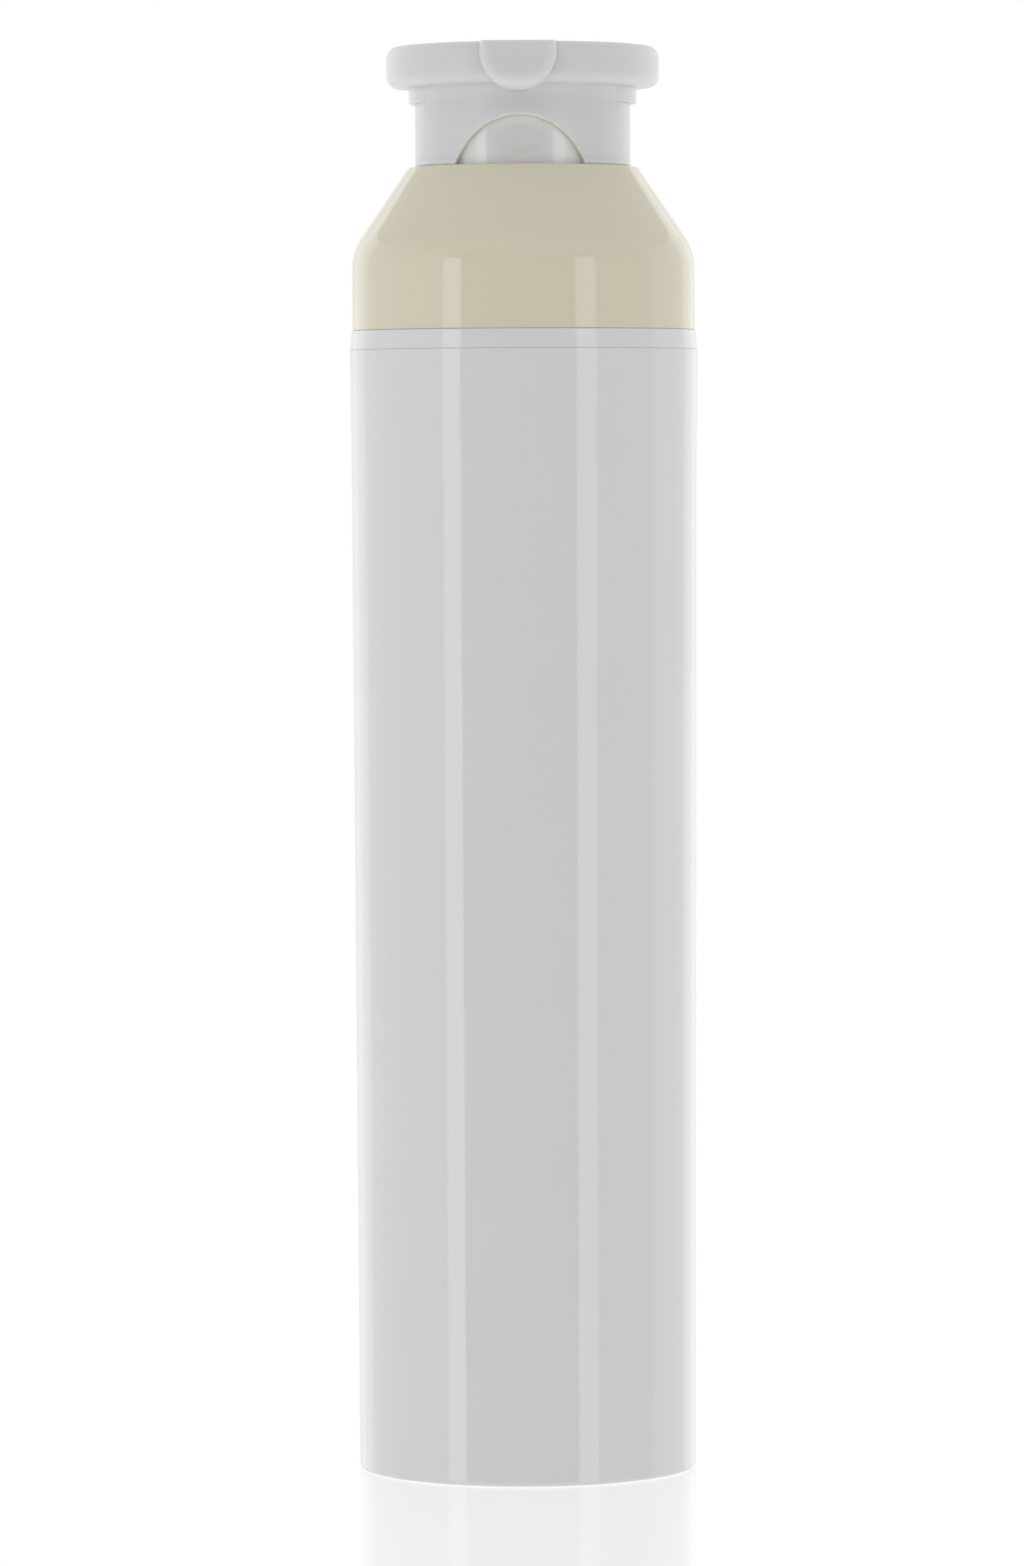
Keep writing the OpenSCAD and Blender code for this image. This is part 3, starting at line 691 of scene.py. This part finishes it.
# %% Base plug
plug_z, plug_top = low("base_plug"), high("base_plug")
PLUG_R = BORE_R - FIT
PLUG_WALL = 1.0
PLUG_FLOOR = 1.2
VENT_R = 1.2
plug_corners = [(VENT_R, plug_z, 0.2), (PLUG_R, plug_z, 0.3)]
plug_corners += bead_corners(PLUG_R, PLUG_BEAD_Z, BEAD)
plug_corners += [
    (PLUG_R, plug_top, 0.25),
    (PLUG_R - PLUG_WALL, plug_top, 0.25),
    (PLUG_R - PLUG_WALL, plug_z + PLUG_FLOOR, 0.3),
    (VENT_R, plug_z + PLUG_FLOOR, 0.2),
]
base_plug = turned("vented_plug", plug_corners, pump_white)
settle(base_plug, "bottle", "pump_white", "base_plug")

# %% [markdown]
# ## The closure
# Under the cream collar a narrow white ring shows. It is the rim of the cap that snaps over the
# neck and holds the pump. Only its edge is seen, so that edge gets a fine rounding,
# and the gap to the tube shows as a hairline.

# %% Pump closure
CLOSURE_R = 18.6
CLOSURE_BORE_R = 17.5
FLANGE_R = 19.93
FLANGE_TOP_R = 19.76
HOUSING_R = 6.3
PUMP_FLANGE_R = 9.0
UPSTAND_R = 10.0
CHAPLET_TOP = 139.6
UPSTAND_TOP = 140.25
COLLAR_BEAD_Z = FLANGE_TOP + 2.4
closure_corners = [
    (CLOSURE_BORE_R, SHOULDER_Z, 0.15),
    (FLANGE_R, SHOULDER_Z, 0.05),
    (FLANGE_TOP_R, FLANGE_TOP, 0.12),
    (CLOSURE_R, FLANGE_TOP, 0),
]
closure_corners += bead_corners(CLOSURE_R, COLLAR_BEAD_Z, BEAD)
closure_corners += [
    (CLOSURE_R, DECK_TOP, 0.45),
    (UPSTAND_R, DECK_TOP, 0.3),
    (UPSTAND_R, UPSTAND_TOP, 0.25),
    (PUMP_FLANGE_R - BEAD, UPSTAND_TOP, 0.12),
    (PUMP_FLANGE_R + FIT, CHAPLET_TOP + FIT, 0.1),
    (PUMP_FLANGE_R + FIT, DECK_TOP, 0),
    (HOUSING_R + FIT, DECK_TOP, 0.1),
    (HOUSING_R + FIT, DECK_Z, 0.1),
    (CLOSURE_BORE_R, DECK_Z, 0.2),
]
closure_corners += bead_corners(CLOSURE_BORE_R, NECK_BEAD_Z, BEAD + FIT, up=False)
closure = turned("snap_closure", closure_corners, gloss_white, facets=256)
settle(closure, "bottle", "gloss_white", "pump_closure")

# %% [markdown]
# ## The collar
# The cream collar is a thin shell: a short cylinder that bends by a wide blend into a cone, and
# turns in to a guide lip at its mouth. The blend decides where the two highlights end,
# so it is an exact arc, drawn with many points on both skins.

# %% Shoulder collar
COLLAR_R = 19.65
COLLAR_WALL = 1.0
CONE_H = 9.5
COLLAR_BLEND = 6.8
CORNER_R = 13.15
MOUTH_R = 12.5
LIP_R = 13.4
LIP_H = 3.0
cone_angle = math.atan((COLLAR_R - CORNER_R) / CONE_H)
blend_z = COLLAR_TOP - CONE_H - COLLAR_BLEND * math.tan(cone_angle / 2)
COLLAR_BORE_R = COLLAR_R - COLLAR_WALL


def collar_side(depth):
    """The bent side, at a depth under the outside, from the end of the cylinder up."""
    steps = 20
    radius = COLLAR_BLEND - depth
    angles = [cone_angle * i / steps for i in range(steps + 1)]
    centre = COLLAR_R - COLLAR_BLEND
    arc = [(centre + radius * math.cos(a), blend_z + radius * math.sin(a), 0) for a in angles]
    return [(COLLAR_R - depth, blend_z - 0.4, 0)] + arc


lip_meet_z = COLLAR_TOP - (LIP_R - CORNER_R + COLLAR_WALL / math.cos(cone_angle)) / math.tan(cone_angle)
collar_corners = [(COLLAR_BORE_R, FLANGE_TOP, 0.1), (COLLAR_R, FLANGE_TOP, 0.12)]
collar_corners += collar_side(0)
collar_corners += [
    (CORNER_R, COLLAR_TOP, 0.4),
    (MOUTH_R, COLLAR_TOP, 0.12),
    (MOUTH_R, COLLAR_TOP - LIP_H, 0.2),
    (LIP_R, COLLAR_TOP - LIP_H, 0.2),
    (LIP_R, lip_meet_z, 0.15),
]
collar_corners += collar_side(COLLAR_WALL)[::-1]
collar_corners += bead_corners(COLLAR_BORE_R, COLLAR_BEAD_Z, BEAD + FIT, up=False)
collar = turned("cream_collar", collar_corners, cream_gloss, facets=256)
settle(collar, "bottle", "cream_gloss", "shoulder_collar")

# %% [markdown]
# ## The actuator's shell
# This is the piece that the finger presses: a wide disc on a skirt, with a short round spout
# in front, an arch cut in the skirt under it and a lug at each side. It has a satin finish.
# The disc and skirt are turned. The spout is a turned boss laid along -Y and trimmed level with
# the top. Booleans join it on and cut the arch, because no single outline holds them all.

# %% Disc and skirt
SKIRT_WALL = 0.8
TOP_T = 1.2
SKIRT_BORE_R = SKIRT_R - SKIRT_WALL
SKIRT_Z = low("actuator_shell")
PLATE_Z = HEAD_TOP - TOP_T
shell = turned(
    "finger_disc",
    [
        (0, HEAD_TOP, 0),
        (DISC_R, HEAD_TOP, 1.3),
        (DISC_R, DISC_Z, 1.2),
        (SKIRT_R, DISC_Z, 0.3),
        (SKIRT_R, SKIRT_Z, 0.35),
        (SKIRT_BORE_R, SKIRT_Z, 0.12),
        (SKIRT_BORE_R, PLATE_Z, 0.25),
        (0, PLATE_Z, 0),
    ],
    satin_white,
    facets=256,
    closed=False,
)
print("disc and skirt:", len(shell.data.polygons), "faces")

# %% [markdown]
# ### Spout
# The boss is turned about its own line and then laid down, so its front edge has one even
# rounding. A prism with a rounded front trims its top level with the disc. The same laid-down
# bars later make the liner and its bore.

# %% Spout
SPOUT_R = 4.46
SPOUT_DROP = 1.2
SPOUT_DRAFT = 0.15
SPOUT_ROUND = 1.2
SPOUT_Z = HEAD_TOP - SPOUT_DROP
SPOUT_FRONT = 16.9
CHANNEL_Z = 159.4
OUTLET_Y = 14.1
OUTLET_R = 1.0
LINER_R = 1.8
LINER_END = OUTLET_Y + 1.3


def lay_down(piece, z):
    """Lays a piece that was turned about Z along -Y, at a height in millimetres."""
    piece.data.transform(Matrix.Translation((0, 0, z * MM)) @ Matrix.Rotation(math.pi / 2, 4, "X"))
    return piece


def bar(name, r, z, near, far, facets=96, rounding=0):
    """A round bar along -Y between two distances from the axis."""
    return lay_down(rod(name, r, near, far, satin_white, facets, rounding), z)


def prism(name, profile, half_width):
    """A prism along X from (y, z) points in millimetres."""
    work = bmesh.new()
    left = [work.verts.new((-half_width * MM, y * MM, z * MM)) for y, z in profile]
    right = [work.verts.new((half_width * MM, y * MM, z * MM)) for y, z in profile]
    work.faces.new(left)
    work.faces.new(right[::-1])
    for i in range(len(profile)):
        j = (i + 1) % len(profile)
        work.faces.new((left[j], left[i], right[i], right[j]))
    bmesh.ops.recalc_face_normals(work, faces=work.faces)
    mesh = bpy.data.meshes.new(name)
    work.to_mesh(mesh)
    work.free()
    mesh.materials.append(satin_white)
    return as_piece(name, mesh)


ROOT_R = SKIRT_R - 0.4  # inside the skirt's wall, so that what is joined on meets no gap
boss_corners = [
    (0, ROOT_R, 0),
    (SPOUT_R, ROOT_R, 0),
    (SPOUT_R - SPOUT_DRAFT, SPOUT_FRONT, SPOUT_ROUND),
    (0, SPOUT_FRONT, 0),
]
boss = lay_down(turned("boss", boss_corners, satin_white, 160, closed=False), SPOUT_Z)
TRIM_TOP = HEAD_TOP - 0.004  # a hair under the disc's top and before the boss's front,
TRIM_FRONT = -SPOUT_FRONT - 0.003  # because booleans dislike shared planes
BELOW_SPOUT = 150
TRIM_STEP = 160  # from here up the trim's front follows the boss's front
trim_corners = [
    (0, BELOW_SPOUT, 0),
    (-SPOUT_FRONT - 1, BELOW_SPOUT, 0),
    (-SPOUT_FRONT - 1, TRIM_STEP, 0),
    (TRIM_FRONT, TRIM_STEP, 0),
    (TRIM_FRONT, TRIM_TOP, SPOUT_ROUND),
    (0, TRIM_TOP, 0),
]
carve(boss, prism("trim", soft_outline(trim_corners), 8), "INTERSECT")
carve(shell, boss, "UNION")
print("disc with its spout:", len(shell.data.polygons), "faces")

# %% [markdown]
# ### Lugs, arch and bores
# Each lug is a slice of a turned disc whose middle lies off the axis, so it stands out from the
# skirt as a crescent. The arch is cut by a cone, so its wall shows as a thin band from the front.

# %% Lugs, arch and bores
LUG_R = 9
LUG_OUT = 0.7
ARCH_R = 8.74
ARCH_DROP = 3
ARCH_DRAFT = 0.3
lug_top = DISC_Z + 0.2
lug_corners = [(0, LUG_Z, 0), (LUG_R, LUG_Z, 0.2), (LUG_R, lug_top, 0), (0, lug_top, 0)]
for side in (-1, 1):
    lug = turned("lug", lug_corners, satin_white, 192, closed=False)
    lug.location.x = side * (SKIRT_R + LUG_OUT - LUG_R) * MM
    carve(lug, rod("lug_hollow", ROOT_R, LUG_Z - 1, DISC_Z + 1, satin_white, 192))
    carve(shell, lug, "UNION")

arch_near, arch_far = SKIRT_BORE_R / 2, SKIRT_R + 1
arch_corners = [
    (0, arch_near, 0),
    (ARCH_R - ARCH_DRAFT * (SKIRT_R - arch_near), arch_near, 0),
    (ARCH_R + ARCH_DRAFT, arch_far, 0),
    (0, arch_far, 0),
]
arch = turned("arch", arch_corners, satin_white, 192, closed=False)
carve(shell, lay_down(arch, COLLAR_TOP - ARCH_DROP))
carve(shell, bar("liner_bore", LINER_R, CHANNEL_Z, SKIRT_BORE_R - 2, LINER_END))
outlet = rod("outlet", OUTLET_R, BELOW_SPOUT, CHANNEL_Z, satin_white, 64)
carve(shell, shifted(outlet, 0, -OUTLET_Y))
settle(shell, "head", "satin_white", "actuator_shell")

# %% [markdown]
# ## The actuator's core
# Through the arch a polished sleeve shows. It belongs to the core, which carries the stem's
# socket, the spring's seat and the channel to the spout. The sleeve hides the works and
# slides down inside the collar. It is turned, and a bar along -Y is its channel.

# %% Actuator core
SLEEVE_GAP = 0.06
SLEEVE_WALL = 0.83
SLEEVE_R = SKIRT_BORE_R - SLEEVE_GAP
SLEEVE_BORE_R = SLEEVE_R - SLEEVE_WALL
SLEEVE_Z = low("actuator_core")
STEM_TOP = high("stem")
STEM_BORE_R = 1.3
SOCKET_R = 2.55
HUB_R = 4.2
SEAT_R = 5.9
POST_R = 2.4
CHANNEL_R = 1.1
HUB_Z = 149.0
SPRING_TOP = 152.0
WEB_Z = 156.2
WEB_TOP = 157.3
core = turned(
    "core_sleeve",
    [
        (0, CHANNEL_Z, 0),
        (STEM_BORE_R, CHANNEL_Z, 0),
        (STEM_BORE_R, STEM_TOP, 0),
        (SOCKET_R, STEM_TOP, 0.1),
        (SOCKET_R, HUB_Z, 0.2),
        (HUB_R, HUB_Z, 0.25),
        (HUB_R, SPRING_TOP, 0.15),
        (SEAT_R, SPRING_TOP, 0.2),
        (SEAT_R, WEB_Z, 0.3),
        (SLEEVE_BORE_R, WEB_Z, 0.3),
        (SLEEVE_BORE_R, SLEEVE_Z, 0.2),
        (SLEEVE_R, SLEEVE_Z, 0.25),
        (SLEEVE_R, WEB_Z - 0.8, 0),
        (SKIRT_BORE_R, WEB_Z - 0.8, 0.08),
        (SKIRT_BORE_R, WEB_TOP, 0.2),
        (POST_R, WEB_TOP, 0.3),
        (POST_R, PLATE_Z - FIT, 0.3),
        (0, PLATE_Z - FIT, 0),
    ],
    core_white,
    closed=False,
)
CORE_END = SLEEVE_R - 0.13
carve(core, bar("channel_bar", LINER_R, CHANNEL_Z, STEM_BORE_R + 0.5, CORE_END), "UNION")
carve(core, bar("channel", CHANNEL_R, CHANNEL_Z, 0, CORE_END + 1, 64))
repaint(core, core_white)
settle(core, "head", "core_white", "actuator_core")

# %% [markdown]
# ## The spout's liner
# A small tube is pushed into the spout from inside. It turns the cream down through the outlet
# under the spout. It is a bar with a blind bore, and the outlet crosses the bore's end.

# %% Spout liner
liner = bar("spout_liner", LINER_R - FIT, CHANNEL_Z, CORE_END, LINER_END, 96, 0.12)
carve(liner, bar("liner_channel", CHANNEL_R, CHANNEL_Z, CORE_END - 1, LINER_END - 0.5, 64))
drop = rod("drop", OUTLET_R - FIT, CHANNEL_Z - 4, CHANNEL_Z, pump_white, 64)
carve(liner, shifted(drop, 0, -OUTLET_Y))
repaint(liner, pump_white)
settle(liner, "head", "pump_white", "nozzle_insert")

# %% [markdown]
# ## Gaskets
# Two soft rings seal the neck and the pump's flange. They are turned with rounded corners, which
# is how a cut or moulded seal looks once it is squeezed.

# %% Gaskets
gaskets = (
    ("neck_seal", "neck_gasket", 17.35, 16.3),
    ("pump_seal", "housing_gasket", 8.9, 6.4),
)
for name, node, outer, inner in gaskets:
    bottom, top = low(node), high(node)
    corners = [(inner, bottom, 0.2), (outer, bottom, 0.2), (outer, top, 0.2), (inner, top, 0.2)]
    ring = turned(name, corners, seal)
    settle(ring, "bottle", "seal", node)

# %% [markdown]
# ## The pump's housing and chaplet
# The housing is a small cylinder that hangs in the neck by its flange, with the ball's chamber
# and a 45 degree seat below. The chaplet closes it at the top and guides the stem.
# Both are plain turned mouldings, seen only when the bottle is taken apart.

# %% Pump housing and chaplet
PUMP_R = 5.2
CHAMBER_R = 2.5
PUMP_FLOOR_Z = 121.5
CHAMBER_TOP = high("ball_cage")
INLET_R = 0.95
housing_z, housing_top = low("pump_housing"), high("pump_housing")
flange_z = high("housing_gasket")
seat_z = housing_z + 1.2
housing = turned(
    "pump_cylinder",
    [
        (INLET_R, housing_z, 0.15),
        (3.8, housing_z, 0.5),
        (3.8, CHAMBER_TOP - 0.5, 0.2),
        (HOUSING_R, PUMP_FLOOR_Z - 0.3, 0.3),
        (HOUSING_R, flange_z, 0.3),
        (PUMP_FLANGE_R, flange_z, 0.15),
        (PUMP_FLANGE_R, housing_top, 0.25),
        (PUMP_R, housing_top, 0.25),
        (PUMP_R, PUMP_FLOOR_Z, 0.25),
        (CHAMBER_R, CHAMBER_TOP, 0.15),
        (CHAMBER_R, seat_z + CHAMBER_R - INLET_R, 0.15),
        (INLET_R, seat_z, 0),
    ],
    natural_plastic,
)
settle(housing, "bottle", "natural_plastic", "pump_housing")

chaplet_z = low("chaplet")
chaplet = turned(
    "stem_guide",
    [
        (SOCKET_R, chaplet_z, 0.2),
        (PUMP_R - FIT, chaplet_z, 0.3),
        (PUMP_R - FIT, housing_top, 0.1),
        (PUMP_FLANGE_R, housing_top, 0.12),
        (PUMP_FLANGE_R, CHAPLET_TOP, 0.2),
        (3.85, CHAPLET_TOP, 0.2),
        (3.85, high("chaplet"), 0.25),
        (SOCKET_R, high("chaplet"), 0.25),
    ],
    pump_white,
)
settle(chaplet, "bottle", "pump_white", "chaplet")

# %% [markdown]
# ## The inlet valve
# A steel ball lets cream in and closes when the stem goes down. A disc with four windows keeps it
# near its seat. The ball's outline is half a circle, and the windows are cut by four bars.

# %% Ball and cage
BALL_R = 1.5
ball_z = (low("inlet_ball") + high("inlet_ball")) / 2
half_circle = [
    Vector((max(0, BALL_R * math.sin(math.pi * i / 24)), ball_z - BALL_R * math.cos(math.pi * i / 24)))
    for i in range(25)
]
ball = turned("valve_ball", [], ball_steel, 48, closed=False, points=half_circle)
settle(ball, "ball", "steel", "inlet_ball")

cage_z = low("ball_cage")
CAGE_R = CHAMBER_R - FIT
WINDOW_R = 0.26 * CAGE_R
cage = rod("ball_keeper", CAGE_R, cage_z, CHAMBER_TOP, pump_white, 96, 0.1)
for quarter in range(4):
    window = rod("window", WINDOW_R, cage_z - 1, CHAMBER_TOP + 1, pump_white, 48)
    angle = math.radians(45 + 90 * quarter)
    carve(cage, shifted(window, CAGE_R / 2 * math.cos(angle), CAGE_R / 2 * math.sin(angle)))
settle(cage, "bottle", "pump_white", "ball_cage")

# %% [markdown]
# ## Stem, plug and pump piston
# The hollow stem carries the head. Its foot is closed by a plug, and two small ports above the
# plug are opened and shut by a piston that slides a little on the stem.
# The port is one drilled bar across the stem, and the plug's pin is slotted.

# %% Stem, plug and pump piston
STEM_R = 2.5
STEM_LOW_R = 1.9
piston_z, piston_top = low("pump_piston"), high("pump_piston")
stem_flange_z = piston_top + 0.8
stem = turned(
    "hollow_stem",
    [
        (STEM_BORE_R, piston_z, 0.08),
        (STEM_LOW_R, piston_z, 0.12),
        (STEM_LOW_R, stem_flange_z, 0.1),
        (3.6, stem_flange_z, 0.2),
        (3.6, stem_flange_z + 1.2, 0.2),
        (STEM_R, stem_flange_z + 1.2, 0.1),
        (STEM_R, STEM_TOP, 0.3),
        (STEM_BORE_R, STEM_TOP, 0.1),
    ],
    pump_white,
    128,
)
port = rod("port", 0.4, -3, 3, pump_white, 48)
port.data.transform(Matrix.Rotation(math.pi / 2, 4, "Y"))
carve(stem, shifted(port, 0, 0, piston_z + 0.5))
settle(stem, "stem", "pump_white", "stem")

PIN_R = STEM_BORE_R - FIT
plug_z, pin_top = low("stem_plug"), high("stem_plug")
foot_corners = [
    (0, plug_z, 0),
    (3.2, plug_z, 0.25),
    (3.2, piston_z, 0.15),
    (PIN_R, piston_z, 0.1),
    (PIN_R, pin_top, 0.25),
    (0, pin_top, 0),
]
foot_plug = turned("stem_foot_plug", foot_corners, pump_white, 128, closed=False)
slot_low, slot_high = piston_z + 0.01, pin_top + 1
slot = [(-0.5, slot_low), (0.5, slot_low), (0.5, slot_high), (-0.5, slot_high)]
carve(foot_plug, prism("slot", slot, PIN_R + 1))
repaint(foot_plug, pump_white)
settle(foot_plug, "stem", "pump_white", "stem_plug")

PISTON_IN_R = STEM_LOW_R + FIT
LIP_R_OUT = PUMP_R - FIT
web = (piston_z + piston_top) / 2
pump_piston = turned(
    "pump_seal_piston",
    [
        (PISTON_IN_R, piston_z, 0.15),
        (PISTON_IN_R + 0.9, piston_z, 0.15),
        (PISTON_IN_R + 0.9, web - 0.5, 0.25),
        (LIP_R_OUT - 0.9, web - 0.5, 0.25),
        (LIP_R_OUT - 0.9, piston_z + 0.3, 0.15),
        (LIP_R_OUT - 0.2, piston_z + 0.3, 0.1),
        (LIP_R_OUT, piston_z + 0.7, 0.15),
        (LIP_R_OUT - 0.25, web, 1.0),
        (LIP_R_OUT, piston_top - 0.7, 0.15),
        (LIP_R_OUT - 0.2, piston_top - 0.3, 0.1),
        (LIP_R_OUT - 0.9, piston_top - 0.3, 0.15),
        (LIP_R_OUT - 0.9, web + 0.5, 0.25),
        (PISTON_IN_R + 0.9, web + 0.5, 0.25),
        (PISTON_IN_R + 0.9, piston_top - 0.02, 0.15),  # clear of the stem's flange at its stop
        (PISTON_IN_R, piston_top - 0.02, 0.15),
    ],
    natural_plastic,
    160,
)
settle(pump_piston, "piston", "natural_plastic", "pump_piston")

# %% [markdown]
# ## The follower piston
# The piston in the tube has a sealing lip at the top and the foot, and a deep recess in its crown
# that goes over the pump at the end of its travel. Six ribs stiffen the crown from below.
# The ribs repeat round the axis, so a small node tree sets one rib out on a ring.

# %% Ribs round the axis
rib_tree, make, wire = new_tree(
    "Ribs round the axis",
    Start="Geometry",
    Ribs="Int",
    Rib_size="Vector",
    Rib_centre="Vector",
    Finish="Material",
)
given = make("NodeGroupInput")
rib, shift = make("GeometryNodeMeshCube"), make("GeometryNodeTransform")
places, index = make("GeometryNodeMeshLine"), make("GeometryNodeInputIndex")
step, angle = make("ShaderNodeMath"), make("ShaderNodeMath")
spin, setting = make("ShaderNodeCombineXYZ"), make("GeometryNodeInstanceOnPoints")
step.operation, angle.operation = "DIVIDE", "MULTIPLY"
step.inputs[0].default_value = 2 * math.pi
places.inputs["Offset"].default_value = (0, 0, 0)
wire(given.outputs["Rib size"], rib.inputs["Size"])
wire(rib.outputs["Mesh"], shift.inputs["Geometry"])
wire(given.outputs["Rib centre"], shift.inputs["Translation"])
wire(given.outputs["Ribs"], places.inputs["Count"])
wire(given.outputs["Ribs"], step.inputs[1])
wire(index.outputs[0], angle.inputs[0])
wire(step.outputs[0], angle.inputs[1])
wire(angle.outputs[0], spin.inputs["Z"])
wire(places.outputs["Mesh"], setting.inputs["Points"])
wire(shift.outputs["Geometry"], setting.inputs["Instance"])
wire(spin.outputs[0], setting.inputs["Rotation"])
end_tree(setting.outputs["Instances"])
print("rib tree ready")

# %% [markdown]
# ### Crown and ribs together
# The piston itself is turned from one open outline. The ribs are then joined on, so the piece is
# one closed moulding.

# %% Follower piston
FOLLOWER_R = BORE_R - FIT
WAIST_R = FOLLOWER_R - 0.45
FOLLOWER_IN_R = WAIST_R - 1.0
RECESS_R = HOUSING_R + 0.6
RECESS_OUT_R = RECESS_R + 1.0
RIBS = 6
bottom, top = low("follower_piston"), high("follower_piston")
crown = top - 1.0
follower = turned(
    "rising_piston",
    [
        (0, bottom, 0),
        (RECESS_OUT_R, bottom, 0.4),
        (RECESS_OUT_R, crown, 0.5),
        (FOLLOWER_IN_R, crown, 0.5),
        (FOLLOWER_IN_R, bottom, 0.3),
        (FOLLOWER_R, bottom, 0.3),
        (FOLLOWER_R, bottom + 2, 0.3),
        (WAIST_R, bottom + 2.45, 0.4),
        (WAIST_R, top - 2.45, 0.4),
        (FOLLOWER_R, top - 2, 0.3),
        (FOLLOWER_R, top, 0.3),
        (RECESS_R, top, 0.5),
        (RECESS_R, bottom + 1, 0.5),
        (0, bottom + 1, 0),
    ],
    natural_plastic,
    closed=False,
)
rib_low, rib_high = (bottom + top) / 2, top - 0.5
rib_in, rib_out = RECESS_OUT_R - 0.2, FOLLOWER_IN_R + 0.2
rib_values = {
    "Ribs": RIBS,
    "Rib size": ((rib_out - rib_in) * MM, 1.0 * MM, (rib_high - rib_low) * MM),
    "Rib centre": ((rib_out + rib_in) / 2 * MM, 0.0, (rib_high + rib_low) / 2 * MM),
    "Finish": natural_plastic,
}
ribs = from_tree("ribs", rib_tree, rib_values)
carve(follower, ribs, "UNION")
settle(follower, "follower", "natural_plastic", "follower_piston")

# %% [markdown]
# ## The return spring
# A compression spring lifts the head again. Its end turns lie closed and are ground flat, so it
# stands square. A screw modifier gives only an even pitch, so a node tree makes it:
# a spiral is lifted turn by turn, a round wire follows it, and both ends are cut level.

# %% Spring tree
spring_tree, make, wire = new_tree(
    "Closed and ground spring",
    Start="Geometry",
    Mean_radius="Float",
    Wire_radius="Float",
    Foot_height="Float",
    Top_height="Float",
    Turns="Float",
    Ground_share="Float",
    Steps_per_turn="Int",
    Wire_sides="Int",
    Finish="Material",
)
given = make("NodeGroupInput")
turns = given.outputs["Turns"]


def spring_math(operation, a, b):
    """One Math node of the spring's tree."""
    return math_node(spring_tree, operation, a, b)


spiral = make("GeometryNodeCurveSpiral")
wire(given.outputs["Steps per turn"], spiral.inputs["Resolution"])
wire(turns, spiral.inputs["Rotations"])
wire(given.outputs["Mean radius"], spiral.inputs["Start Radius"])
wire(given.outputs["Mean radius"], spiral.inputs["End Radius"])
spiral.inputs["Height"].default_value = 0
wire_d = spring_math("MULTIPLY", given.outputs["Wire radius"], 2)
kept_share = spring_math("SUBTRACT", 1, given.outputs["Ground share"])
inset = spring_math("MULTIPLY", given.outputs["Wire radius"], kept_share)
start = spring_math("ADD", given.outputs["Foot height"], inset)
end = spring_math("SUBTRACT", given.outputs["Top height"], inset)
turned_by = spring_math("MULTIPLY", make("GeometryNodeSplineParameter").outputs["Factor"], turns)
left_over = spring_math("SUBTRACT", turns, turned_by)
first = spring_math("MINIMUM", turned_by, 1)
last = spring_math("SUBTRACT", 1, spring_math("MINIMUM", left_over, 1))
working = spring_math("SUBTRACT", turns, 2)
between_ends = spring_math("SUBTRACT", end, start)
rise = spring_math("SUBTRACT", between_ends, spring_math("MULTIPLY", wire_d, 2))
pitch = spring_math("DIVIDE", rise, working)
middle = spring_math("MAXIMUM", spring_math("SUBTRACT", turned_by, 1), 0)
middle = spring_math("MINIMUM", middle, working)
closed_turns = spring_math("MULTIPLY", spring_math("ADD", first, last), wire_d)
lifted = spring_math("ADD", closed_turns, spring_math("MULTIPLY", middle, pitch))
height = spring_math("ADD", start, lifted)
print("spring tree: heights ready")

# %% [markdown]
# ### Wire and ground ends
# The second half of the tree lays a round wire along the lifted spiral, and then holds each point
# between the two end planes, which is just what grinding does.

# %% Wire and ground ends
here = make("ShaderNodeSeparateXYZ")
wire(make("GeometryNodeInputPosition").outputs[0], here.inputs[0])


def at_height(geometry, z):
    """Sets the height of every point and leaves its place seen from above."""
    place, move = make("ShaderNodeCombineXYZ"), make("GeometryNodeSetPosition")
    for axis, value in zip("XYZ", (here.outputs["X"], here.outputs["Y"], z)):
        wire(value, place.inputs[axis])
    wire(geometry, move.inputs["Geometry"])
    wire(place.outputs[0], move.inputs["Position"])
    return move.outputs["Geometry"]


upright, sweep = make("GeometryNodeSetCurveNormal"), make("GeometryNodeCurveToMesh")
section = make("GeometryNodeCurvePrimitiveCircle")
upright.mode = "Z_UP"
wire(at_height(spiral.outputs["Curve"], height), upright.inputs["Curve"])
wire(given.outputs["Wire sides"], section.inputs["Resolution"])
wire(given.outputs["Wire radius"], section.inputs["Radius"])
wire(upright.outputs["Curve"], sweep.inputs["Curve"])
wire(section.outputs["Curve"], sweep.inputs["Profile Curve"])
sweep.inputs["Fill Caps"].default_value = True
held = spring_math("MAXIMUM", here.outputs["Z"], given.outputs["Foot height"])
held = spring_math("MINIMUM", held, given.outputs["Top height"])
end_tree(at_height(sweep.outputs["Mesh"], held))

SPRING_FOOT = CHAPLET_TOP
spring_values = {
    "Mean radius": 5.1 * MM,
    "Wire radius": 0.4 * MM,
    "Foot height": SPRING_FOOT * MM,
    "Top height": SPRING_TOP * MM,
    "Turns": 6.5,
    "Ground share": 0.5,
    "Steps per turn": 48,
    "Wire sides": 14,
    "Finish": wire_steel,
}
spring = from_tree("return_coil", spring_tree, spring_values)
settle(spring, "bottle", "steel", "return_spring")
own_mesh(spring)
